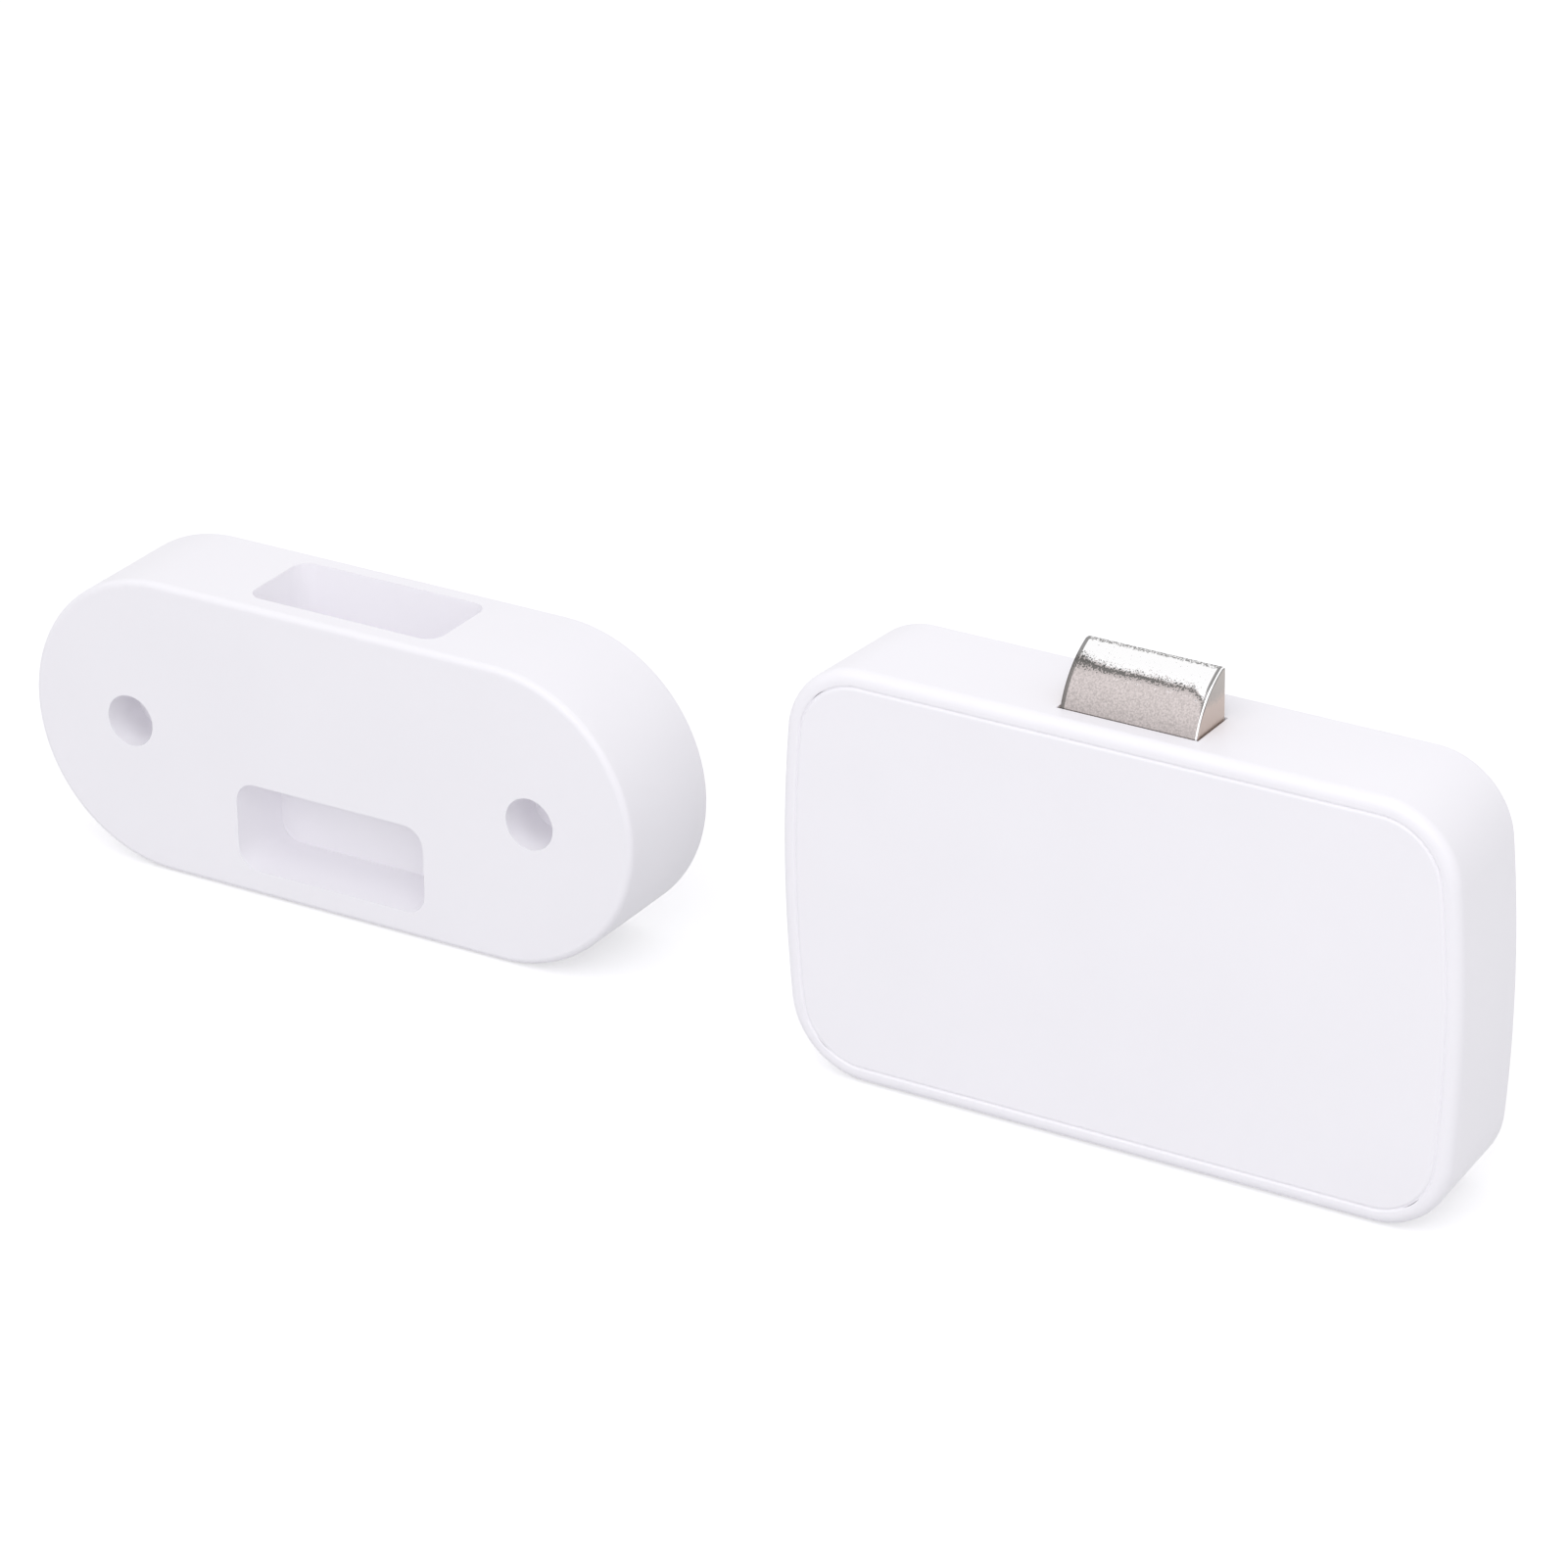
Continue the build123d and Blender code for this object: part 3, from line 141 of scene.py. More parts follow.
class Nodes:
    """A node tree in the making."""

    def __init__(self, tree: bpy.types.NodeTree) -> None:
        """Empties a tree and keeps it."""
        tree.nodes.clear()
        self.tree = tree

    def node(self, kind: str, values: Inputs | None = None, **settings: object) -> bpy.types.Node:
        """Adds one node.

        Args:
            kind: the node's type.
            values: for each input, a number, a colour, a Sock or another node's socket.
            settings: the node's own settings, which are set first.

        Returns:
            The node.
        """
        made = self.tree.nodes.new(kind)
        for key, value in settings.items():
            setattr(made, key, value)
        for key, value in (values or {}).items():
            self.feed(made.inputs[key], value)
        return made

    def feed(self, target: bpy.types.NodeSocket, value: object) -> None:
        """Links an input to a socket, or sets its value. A colour of three numbers is opaque.

        Args:
            target: the input.
            value: a number, a colour, a Sock or another node's socket.
        """
        value = value.link if isinstance(value, Sock) else value
        if isinstance(value, bpy.types.NodeSocket):
            self.tree.links.new(value, target)
        elif target.type == "RGBA":
            target.default_value = (*value, 1.0)
        else:
            target.default_value = value

    def out(self, kind: str, values: Inputs | None = None, end: str | int = 0, **settings: object) -> Sock:
        """One output, named by end, of a node that is made as node() makes it."""
        return Sock(self, self.node(kind, values, **settings).outputs[end])

    def seen(self) -> Sock:
        """1 for the camera, in reflections and through glass, else 0.

        Returns:
            The switch.
        """
        path = self.node("ShaderNodeLightPath")
        kinds = ("Camera", "Glossy", "Transmission")
        camera, glossy, through = (Sock(self, path.outputs[f"Is {kind} Ray"]) for kind in kinds)
        return camera.most(glossy).most(through)


class Shader(Nodes):
    """A material in the making, with one Principled surface."""

    def __init__(self, name: str) -> None:
        """Makes an empty material with its output and Principled nodes."""
        self.material = bpy.data.materials.new(name)
        self.material.use_nodes = True
        super().__init__(self.material.node_tree)
        self.surface = self.node("ShaderNodeBsdfPrincipled")
        self.output = self.node("ShaderNodeOutputMaterial", {"Surface": self.surface.outputs[0]})

    def place(self) -> Sock:
        """Object coordinates."""
        return self.out("ShaderNodeTexCoord", end="Object")

    def axes(self) -> tuple[Sock, ...]:
        """The X, Y and Z of the Object coordinates."""
        node = self.node("ShaderNodeSeparateXYZ", {0: self.place()})
        return tuple(Sock(self, axis) for axis in node.outputs)

    def stretch(self, scale: Triple) -> Sock:
        """Object coordinates times a scale for each axis."""
        return self.out("ShaderNodeMapping", {"Vector": self.place(), "Scale": scale})

    def noise(self, grain: float, detail: float = 2.0, place: Sock | None = None) -> Sock:
        """Cloudy noise from 0 to 1.

        Args:
            grain: the size of one cloud, in metres.
            detail: how many finer layers it has.
            place: where to read it; Object coordinates if left out.

        Returns:
            The noise.
        """
        values = {"Vector": place or self.place(), "Scale": 1.0 / grain, "Detail": detail, "Roughness": 0.55}
        return self.out("ShaderNodeTexNoise", values)

    def cells(self, grain: float) -> Sock:
        """Distance to the nearest of scattered points, in cells of a grain in metres."""
        values = {"Vector": self.place(), "Scale": 1.0 / grain}
        return self.out("ShaderNodeTexVoronoi", values, "Distance")

    def mix(self, share: Value, first: Value, second: Value) -> Sock:
        """Mixes two colours, where a share of 0 gives the first and 1 the second."""
        return self.out("ShaderNodeMix", {0: share, 6: first, 7: second}, 2, data_type="RGBA")

    def tint(self, cloud: Sock, span: Pair, colour: Colour, dark: float) -> Sock:
        """A colour that goes from a dark share of itself to full as a cloud crosses a span."""
        return self.mix(cloud.ramp(*span), shade(colour, dark), colour)

    def bump(self, height: Sock, depth: float, under: Sock | None = None) -> Sock:
        """A bumped normal.

        Args:
            height: the height, from 0 to 1.
            depth: the height of 1, in metres.
            under: a bumped normal that this one adds to.

        Returns:
            The normal.
        """
        values = {"Height": height, "Distance": depth, "Strength": 1.0}
        return self.out("ShaderNodeBump", values | ({"Normal": under} if under else {}))

    def finish(self, **values: Value) -> bpy.types.Material:
        """Sets the Principled surface and returns the material.

        Args:
            values: an input's name, with _ for a space, and its value or socket.

        Returns:
            The material.
        """
        for key, value in values.items():
            self.feed(self.surface.inputs[key.replace("_", " ")], value)
        return self.material


def shade(colour: Colour, amount: float) -> Colour:
    """A colour times an amount."""
    return tuple(part * amount for part in colour)


# Finishes


class Finish(Protocol):
    """Anything that makes a material."""

    name: str

    def material(self) -> bpy.types.Material:
        """Makes the material."""


@dataclass(frozen=True)
class MouldedWhite:
    """White moulding: satin gloss over the fine spark-eroded grain of its mould."""

    name: str
    colour: Colour = WHITE
    roughness: float = 0.36
    drift: float = 18.0 * MM
    ripple: float = 11.0 * MM
    ripple_depth: float = 10.0 * MICRON
    wear: float = 4.0 * MM
    grain: float = 0.16 * MM
    grain_depth: float = 3.5 * MICRON

    def material(self) -> bpy.types.Material:
        """Colour drifts by a hundredth, gloss by a twelfth, and the grain lies on a slow ripple.

        Returns:
            The material.
        """
        shader = Shader(self.name)
        grain = shader.noise(self.grain)
        colour = shader.tint(shader.noise(self.drift, 1.0), (0.3, 0.7), self.colour, 0.988)
        ripple = shader.bump(shader.noise(self.ripple, 1.0), self.ripple_depth)
        normal = shader.bump(grain, self.grain_depth, ripple)
        gloss = self.roughness + 0.05 * shader.noise(self.wear, 3.0) + 0.03 * grain
        return shader.finish(Base_Color=colour, Roughness=gloss, Normal=normal)


@dataclass(frozen=True)
class PlatedCasting:
    """Nickel plate on a die casting, with its reflections painted into the colour: a speckled
    brownish painted reflection on the lower ramp, and a near-white painted reflection above.

    A speckled band of painted dark reflection parts the two, higher and wider at the left end,
    lower and fainter at the right. Thin lines of painted dark reflection follow the crest and the
    eased ends of the head, the right end has a painted highlight stripe, and the end face has a
    painted reflection that changes with height. The foot, crest and shoulder are heights, and half
    is half of the head's width, in metres. The part and the spread are shares of the way from the
    foot to the crest.
    """

    name: str
    foot: float
    crest: float
    shoulder: float
    half: float
    # Painted reflection colours: near white above and brownish on the lower ramp
    high_painted_reflection: Colour = (0.985, 0.98, 0.985)
    low_painted_reflection: Colour = (0.505, 0.458, 0.448)
    # Painted dark reflection, for the band and the thin lines
    dark: Colour = (0.13, 0.125, 0.12)
    # The end face's painted reflection, near the foot and higher up
    face: Colour = (0.63, 0.54, 0.485)
    grey: Colour = (0.48, 0.45, 0.42)
    part: float = 0.70
    spread: float = 0.10
    ease: float = 0.35 * MM
    speck: float = 0.24 * MM
    cloud: float = 1.6 * MM

    def material(self) -> bpy.types.Material:
        """Works on the height over the case and on the distance from each end.

        Returns:
            The material.
        """
        shader = Shader(self.name)
        x, _, z = shader.axes()
        speck, cloud = shader.noise(self.speck, 1.0), shader.noise(self.cloud)
        grit = speck - 0.5
        climb = z.ramp(self.foot, self.crest)
        rise = climb + 0.06 * (cloud - 0.5)
        left, right = x.ramp(-0.5 * self.half, -self.half), x.ramp(0.72 * self.half, self.half)
        level = rise - 0.05 * left + 0.22 * right * right
        # Where the near-white painted reflection takes over from the lower one
        upper = (level + 0.5 * grit).ramp(self.part - 0.02, self.part + 0.05)
        # The band of painted dark reflection between the two zones, fading to the right, and its specks
        band = 1.0 - ((level - self.part) / (self.spread * (1.0 + left))).size().least(1.0)
        painted_band_fade = band * (1.0 - 0.22 * x.ramp(-0.2 * self.half, self.half))
        painted_band_specks = (painted_band_fade + 2.4 * grit).ramp(0.5, 0.8)
        # Painted dark reflection line along the crest
        crest = climb.ramp(0.965, 0.995)
        painted_crest_reflection = (0.75 * crest + 1.8 * grit).ramp(0.5, 0.85) * crest * 0.85
        inward = self.half - x.size()
        head = z.above(self.shoulder)
        end = inward.below(30.0 * MICRON) * head
        left_end = x.below(0.0)
        wide = 1.0 + 0.9 * left_end.most(rise.ramp(0.3, 0.7))
        edge = inward.below(self.ease * wide) * (1.0 - end) * head
        # Painted highlight stripe along the right end's easing
        painted_highlight_stripe = edge * (1.0 - left_end) * inward.above(0.3 * self.ease) * inward.below(0.8 * self.ease)
        # Painted dark reflection along the eased ends, full height at the left end
        painted_edge_reflection = 0.8 * edge * left_end.most(rise.ramp(0.15, 0.45))
        # Speckled brownish painted reflection on the lower ramp
        satin = shader.mix(2.8 * (speck - 0.32), shade(self.low_painted_reflection, 0.78), shade(self.low_painted_reflection, 1.12))
        front = shader.mix(upper, satin, self.high_painted_reflection)
        # Painted dark reflection: the band's specks, the crest line and the eased ends
        front = shader.mix(painted_band_specks.most(painted_crest_reflection).most(painted_edge_reflection), front, self.dark)
        # The painted highlight stripe, in near white
        front = shader.mix(painted_highlight_stripe, front, self.high_painted_reflection)
        # The end face's painted reflection, changing with height
        face = shader.mix((rise + 0.3 * grit).ramp(0.42, 0.6), self.face, self.grey)
        frost = 0.44 - 0.27 * upper * (1.0 - end) + 0.08 * grit
        normal = shader.bump(speck, 5.0 * MICRON, shader.bump(cloud, 10.0 * MICRON))
        colour = shader.mix(end, front, face)
        return shader.finish(Base_Color=colour, Metallic=1.0, Roughness=frost, Normal=normal)


class Lay(Enum):
    """The axis that a sheet's rolling lines run along, as a scale for X, Y and Z."""

    ALONG_X = (1.0, 30.0, 30.0)
    ALONG_Z = (30.0, 30.0, 1.0)


@dataclass(frozen=True)
class RolledSheet:
    """Zinc or nickel plated sheet with fine lines from rolling."""

    name: str
    colour: Colour
    lay: Lay = Lay.ALONG_X
    roughness: float = 0.34
    lines: float = 4.5 * MM
    cloud: float = 3.5 * MM

    def material(self) -> bpy.types.Material:
        """Noise drawn out along the lay, over clouds of zinc.

        Returns:
            The material.
        """
        shader = Shader(self.name)
        lines = shader.noise(self.lines, 2.0, shader.stretch(self.lay.value))
        cloud = shader.noise(self.cloud, 3.0)
        colour = shader.tint(cloud, (0.3, 0.75), self.colour, 0.86)
        gloss = self.roughness + 0.12 * lines + 0.06 * cloud
        normal = shader.bump(lines, 4.0 * MICRON)
        return shader.finish(Base_Color=colour, Metallic=1.0, Roughness=gloss, Normal=normal)


@dataclass(frozen=True)
class TurnedMetal:
    """Drawn, ground or turned metal with faint scuffs."""

    name: str
    colour: Colour
    roughness: float = 0.22
    scuff: float = 0.9 * MM
    grain: float = 0.12 * MM

    def material(self) -> bpy.types.Material:
        """Scuffs dull the gloss and darken the colour a little.

        Returns:
            The material.
        """
        shader = Shader(self.name)
        scuff = shader.noise(self.scuff, 4.0)
        colour = shader.tint(scuff, (0.35, 0.7), self.colour, 0.88)
        gloss = self.roughness + 0.14 * scuff.ramp(0.7, 0.35)
        normal = shader.bump(shader.noise(self.grain, 1.0), 2.0 * MICRON)
        return shader.finish(Base_Color=colour, Metallic=1.0, Roughness=gloss, Normal=normal)


@dataclass(frozen=True)
class DullPlastic:
    """Plain coloured moulding: acetal, nylon or a chip's black resin."""

    name: str
    colour: Colour
    roughness: float = 0.5
    grain: float = 0.2 * MM
    grain_depth: float = 6.0 * MICRON
    drift: float = 5.0 * MM

    def material(self) -> bpy.types.Material:
        """Fine grain with a slow drift of colour.

        Returns:
            The material.
        """
        shader = Shader(self.name)
        grain = shader.noise(self.grain)
        colour = shader.tint(shader.noise(self.drift), (0.3, 0.7), self.colour, 0.92)
        gloss = self.roughness + 0.1 * (grain - 0.5)
        normal = shader.bump(grain, self.grain_depth)
        return shader.finish(Base_Color=colour, Roughness=gloss, Normal=normal)


@dataclass(frozen=True)
class SolderMask:
    """Green board: mask over copper tracks, with a tinned ring round each plated hole."""

    name: str
    mask: Colour
    track: Colour
    pad: Colour
    # Near black: painted shade inside each hole, which is not cut in the mesh
    hole: Colour = (0.01, 0.01, 0.01)
    pitch: float = 1.6 * MM
    hole_cell: float = 3.2 * MM
    wander: Pair = (0.6 * MM, 20.0 * MM)
    patch: float = 4.5 * MM
    wear: float = 0.5 * MM

    def material(self) -> bpy.types.Material:
        """Tracks follow two crossed sets of lines, switched by a coarse chequer of noise.

        Returns:
            The material.
        """
        shader = Shader(self.name)
        x, _, z = shader.axes()
        width = 0.3 * self.pitch
        shift = self.wander[0] * (shader.noise(self.wander[1], 0.0) - 0.5)
        across = (x + shift).wrap(self.pitch).below(width)
        along = z.wrap(self.pitch).below(width)
        switch = shader.noise(self.patch, 0.0).above(0.5)
        tracks = switch * across + (1.0 - switch) * along
        spot = shader.cells(self.hole_cell)
        holes = spot.below(0.12)
        ring = spot.below(0.2) - holes
        colour = shader.mix(tracks, self.mask, self.track)
        colour = shader.mix(ring, colour, self.pad)
        # The holes are painted near black, as painted shade
        colour = shader.mix(holes, colour, self.hole)
        gloss = 0.28 + 0.08 * shader.noise(self.wear)
        normal = shader.bump((tracks * 0.5 + ring).least(1.0) - holes, 30.0 * MICRON)
        return shader.finish(Base_Color=colour, Metallic=ring * 0.9, Roughness=gloss, Normal=normal)


@dataclass(frozen=True)
class FoamPad:
    """Closed-cell foam with its paper liner: matt, with small cells at the edge."""

    name: str
    colour: Colour
    cell: float = 0.6 * MM
    fibre: float = 0.7 * MM

    def material(self) -> bpy.types.Material:
        """Cells and a faint weave of the liner.

        Returns:
            The material.
        """
        shader = Shader(self.name)
        fibre = shader.noise(self.fibre, 4.0)
        colour = shader.tint(fibre, (0.35, 0.65), self.colour, 0.9)
        normal = shader.bump(0.6 * shader.cells(self.cell) + 0.4 * fibre, 30.0 * MICRON)
        return shader.finish(Base_Color=colour, Roughness=0.82 + 0.1 * fibre, Normal=normal)


@dataclass(frozen=True)
class CellSleeve:
    """Shrunk sleeve on a cell: a satin grey body with a plain slate band at its tip end.

    The band lies between two heights, and the bare can shows beyond the two of sleeved.
    """

    name: str
    banded: Pair
    sleeved: Pair
    body: Colour = (0.50, 0.52, 0.53)
    slate: Colour = (0.045, 0.085, 0.12)
    metal: Colour = TIN
    wear: float = 0.8 * MM
    ripple: float = 3.0 * MM

    def material(self) -> bpy.types.Material:
        """The bare can shows at both ends, beyond the sleeve's crimped edges.

        Returns:
            The material.
        """
        shader = Shader(self.name)
        height = shader.axes()[2]
        band = height.above(self.banded[0]) * height.below(self.banded[1])
        bare = (height.below(self.sleeved[0]) + height.above(self.sleeved[1])).least(1.0)
        colour = shader.mix(bare, shader.mix(band, self.body, self.slate), self.metal)
        gloss = 0.24 + 0.12 * shader.noise(self.wear, 4.0).ramp(0.55, 0.8) + 0.1 * bare
        metal = (0.6 * (1.0 - band) + bare).least(1.0)
        normal = shader.bump(shader.noise(self.ripple), 20.0 * MICRON)
        look = {"Metallic": metal, "Roughness": gloss, "Normal": normal, "Coat_Weight": 0.4}
        return shader.finish(Base_Color=colour, **look)


BLACK_RESIN = DullPlastic("black_resin", BLACK, 0.42)
CRYSTAL_CAN = TurnedMetal("crystal_can", (0.74, 0.70, 0.58), 0.22)
CRYSTAL_CERAMIC = DullPlastic("crystal_ceramic", (0.10, 0.09, 0.085), 0.5)
STRIPE_RESIN = DullPlastic("stripe_resin", (0.16, 0.07, 0.03), 0.42)
TANTALUM_RESIN = DullPlastic("tantalum_resin", (0.62, 0.36, 0.07), 0.42)
TINNED_END = TurnedMetal("tinned_end", TIN, 0.26)
TURNED_BRASS = TurnedMetal("worm_brass", BRASS, 0.24)


@cache
def material(finish: Finish) -> bpy.types.Material:
    """The finish's material, made once."""
    return finish.material()


# Mesh tools

X_AXIS: Triple = (1.0, 0.0, 0.0)
Y_AXIS: Triple = (0.0, 1.0, 0.0)
Z_AXIS: Triple = (0.0, 0.0, 1.0)
OUT: Triple = (0.0, -1.0, 0.0)
DOUBLED = 1e-7
FLAT = 1e-8
SHARP = math.radians(35)


def solid(name: str, grids: Sequence[np.ndarray], closed: bool = True) -> bpy.types.Object:
    """Makes an object from surfaces that are given as grids of points, in metres.

    Doubled points are merged, flat faces dropped and the rest turned outwards.

    Args:
        name: the object's name.
        grids: arrays of rows by columns by 3.
        closed: joins each grid's last column to its first.

    Returns:
        The object, shaded smoothly across its soft edges.
    """
    quads, total = [], 0
    for grid in grids:
        rows, columns = grid.shape[:2]
        a, b = np.mgrid[: rows - 1, : columns if closed else columns - 1]
        corners = ((a, b), (a + 1, b), (a + 1, b + 1), (a, b + 1))
        quads.append(np.stack([(i * columns + j % columns).ravel() for i, j in corners], 1) + total)
        total += rows * columns
    mesh = bpy.data.meshes.new(name)
    mesh.from_pydata(np.concatenate([grid.reshape(-1, 3) for grid in grids]), [], np.concatenate(quads))
    mesh.update()
    work = bmesh.new()
    work.from_mesh(mesh)
    bmesh.ops.remove_doubles(work, verts=work.verts, dist=DOUBLED)
    bmesh.ops.dissolve_degenerate(work, edges=work.edges, dist=FLAT)
    bmesh.ops.recalc_face_normals(work, faces=work.faces)
    work.to_mesh(mesh)
    work.free()
    mesh.polygons.foreach_set("use_smooth", np.full(len(mesh.polygons), True))
    mesh.set_sharp_from_angle(angle=SHARP)
    made = bpy.data.objects.new(name, mesh)
    bpy.context.scene.collection.objects.link(made)
    return made


def around(sides: int) -> tuple[np.ndarray, np.ndarray]:
    """The cosines and sines of angles spaced evenly round a circle."""
    turn = np.linspace(0, FULL_TURN, sides, endpoint=False)
    return np.cos(turn), np.sin(turn)


def unit(vectors: np.ndarray) -> np.ndarray:
    """Each vector over its length."""
    return vectors / np.linalg.norm(vectors, axis=-1, keepdims=True)


def rings(sides: int, first: np.ndarray, second: np.ndarray) -> np.ndarray:
    """Directions round a circle, cos a * first + sin a * second, for each row of the two."""
    c, s = around(sides)
    return c[None, :, None] * first[:, None] + s[None, :, None] * second[:, None]


def looped(rows: np.ndarray) -> np.ndarray:
    """A grid or a profile with its first row again at its end."""
    return np.concatenate([rows, rows[:1]])


def ended(body: np.ndarray, middles: np.ndarray) -> np.ndarray:
    """A grid with a row before and after it, shrunk to the first and the last of the middles."""
    tips = [np.repeat(middles[k][None, None], body.shape[1], 1) for k in (0, -1)]
    return np.concatenate([tips[0], body, tips[1]])


def tube(path: np.ndarray, radius: float, sides: int = 12, cap_steps: int = 4) -> np.ndarray:
    """A round tube along a path.

    Each ring stands square to the path: point = path + radius * (cos a * side + sin a * up), with
    side = tangent x Z and up = side x tangent. The ends shrink to the path over a round cap.

    Args:
        path: points by 3.
        radius: the tube's radius.
        sides: points round each ring.
        cap_steps: rings in each cap.

    Returns:
        The grid of points.
    """
    tangent = unit(np.gradient(path, axis=0))
    side = unit(np.cross(tangent, Z_AXIS))
    cap = np.linspace(0, QUARTER_TURN, cap_steps + 1)
    shrink = np.concatenate([np.sin(cap[:-1]), np.ones(len(path)), np.cos(cap[1:])])
    push = np.concatenate([-np.cos(cap[:-1]), np.zeros(len(path)), np.sin(cap[1:])])
    pick = np.clip(np.arange(len(shrink)) - cap_steps, 0, len(path) - 1)
    centre = path[pick] + tangent[pick] * (push * radius)[:, None]
    ring = rings(sides, side, np.cross(side, tangent))[pick]
    return centre[:, None] + ring * (radius * shrink)[:, None, None]


def bead(path: np.ndarray, radius: float, sides: int = 8) -> np.ndarray:
    """A round bead along a closed path that lies across Y.

    point = path + radius * (cos a * side + sin a * Y), with side = tangent x Y.

    Args:
        path: points by 3, with the last one next to the first.
        radius: the bead's radius.
        sides: points round each ring.

    Returns:
        The grid of points.
    """
    side = unit(np.cross(np.roll(path, -1, 0) - np.roll(path, 1, 0), Y_AXIS))
    return looped(path[:, None] + radius * rings(sides, side, np.tile(Y_AXIS, (len(path), 1))))


def turned(profile: np.ndarray, base: Sequence[float], axis: Triple, sides: int = 40) -> np.ndarray:
    """A surface turned about an axis.

    point = base + axis * height + radius * (cos a * first + sin a * second), for each radius and
    height of the profile, where first and second are square to the axis.

    Args:
        profile: rows of radius and height.
        base: the axis's start.
        axis: a unit vector.
        sides: points round the axis.

    Returns:
        The grid of points.
    """
    along = np.array(axis)
    first = unit(np.cross(along, X_AXIS if abs(along[2]) > 0.5 else Z_AXIS))
    ring = rings(sides, first[None], np.cross(along, first)[None])
    radius, height = profile.T[:, :, None, None]
    return np.array(base) + height * along + radius * ring


def ribbon(path: np.ndarray, side: Triple, width: float, thick: float) -> np.ndarray:
    """A flat strip along a path, with eased edges and closed ends.

    point = path + width / 2 * c(a) * side + thick / 2 * s(a) * up, where up = side x tangent, and c
    and s are cosine and sine raised to the power 0.4 with their sign kept.

    Args:
        path: points by 3.
        side: a unit vector across the strip.
        width: across the strip.
        thick: through the strip.

    Returns:
        The grid of points.
    """
    up = unit(np.cross(np.array(side), unit(np.gradient(path, axis=0))))
    wide, tall = (np.sign(part) * np.abs(part) ** 0.4 for part in around(12))
    ring = wide[None, :, None] * width / 2 * np.array(side) + tall[None, :, None] * thick / 2 * up[:, None]
    return ended(path[:, None] + ring, path)


def eased_block(centre: Sequence[float], half: Sequence[float], ease: float, steps: int = 4) -> np.ndarray:
    """A block whose edges and corners are rounded.

    point = centre + (half - ease) * sign(n) + ease * n, for each direction n of a sphere. The
    directions on a sphere's seams stand twice, once for each side, so the flats lie between them.

    Args:
        centre: the middle.
        half: half sizes along X, Y and Z.
        ease: the radius of the edges.
        steps: points along a rounded edge.

    Returns:
        The grid of points.
    """
    quarter = np.linspace(0, QUARTER_TURN, steps)
    u = np.concatenate([quarter + k * QUARTER_TURN for k in range(4)])
    v = np.concatenate([quarter - QUARTER_TURN, quarter])[:, None]
    normal = np.stack([np.cos(v) * np.cos(u), np.cos(v) * np.sin(u), np.sin(v) + 0 * u], -1)
    sign = np.empty_like(normal)
    sign[..., :2] = np.repeat([[1, 1], [-1, 1], [-1, -1], [1, -1]], steps, 0)
    sign[..., 2] = np.repeat([-1, 1], steps)[:, None]
    skin = np.array(centre) + sign * (np.array(half) - ease) + ease * normal
    return ended(skin, skin.mean(1))


def holed_plate(centre: Triple, half: float, hole: float, thick: float, power: float = 12) -> np.ndarray:
    """A square plate with eased corners and a round hole, facing the front.

    Its outer edge is reach(a) = half / (|cos a|^power + |sin a|^power)^(1 / power).

    Args:
        centre: the middle of its back.
        half: half of its width.
        hole: the hole's radius.
        thick: its thickness.
        power: more gives squarer corners.

    Returns:
        The grid of points.
    """
    c, s = around(64)
    reach = half / (np.abs(c) ** power + np.abs(s) ** power) ** (1 / power)
    ease = thick / 3
    rims = [(hole, 0.0), (hole, thick), (reach - ease, thick), (reach, thick - ease), (reach, 0.0)]
    rows = [np.stack([radius * c, 0 * c - rise, radius * s], -1) for radius, rise in rims]
    return looped(np.stack(rows) + np.array(centre))


def flat_track(path: np.ndarray, half: float, thick: float) -> np.ndarray:
    """A flat printed track in the X-Z plane: four corners at each point, square to the path.

    Args:
        path: points by 3, on the surface that carries the track.
        half: half of its width.
        thick: its thickness, towards the front.

    Returns:
        The grid of points.
    """
    tangent = unit(np.gradient(path, axis=0))
    across = np.stack([-tangent[:, 2], 0 * tangent[:, 1], tangent[:, 0]], 1) * half
    out = thick * np.array(OUT)
    return ended(np.stack([path + across, path + across + out, path - across + out, path - across], 1), path)


def gull_leads(box: Sequence[Vector], sides: Sequence[Pair], count: int, sizes: Triple) -> list[np.ndarray]:
    """Leads on some sides of a chip.

    A lead leaves the side at half the chip's height and falls to the board: out = reach * t, and
    lift = height / 2 * (1 - tanh(9 (t - 0.42))) / 2.

    Args:
        box: the chip's lowest corner, and its highest, on the board.
        sides: the direction of each side in X and Z.
        count: how many leads a side has.
        sizes: from one lead to the next, a lead's width, and how far it stands out, in millimetres.

    Returns:
        A grid of points for each lead.
    """
    low, high = box
    pitch, width, reach = (size * MM for size in sizes)
    thick, overlap = 0.12 * MM, 0.05 * MM
    t = np.linspace(0, 1, 13)
    out = reach * t - overlap
    lift = (high.y - low.y) / 4 * (1 - np.tanh(9 * (t - 0.42))) + thick / 2
    middle, half = (low + high) / 2, (high - low) / 2
    leads = []
    for right, up in sides:
        for k in range(count):
            shift = (k - (count - 1) / 2) * pitch
            x = middle.x + right * (half.x + out) + abs(up) * shift
            z = middle.z + up * (half.z + out) + abs(right) * shift
            path = np.stack([x, high.y - lift, z], 1)
            leads.append(ribbon(path, (abs(up), 0.0, abs(right)), width, thick))
    return leads


# Sub-assemblies


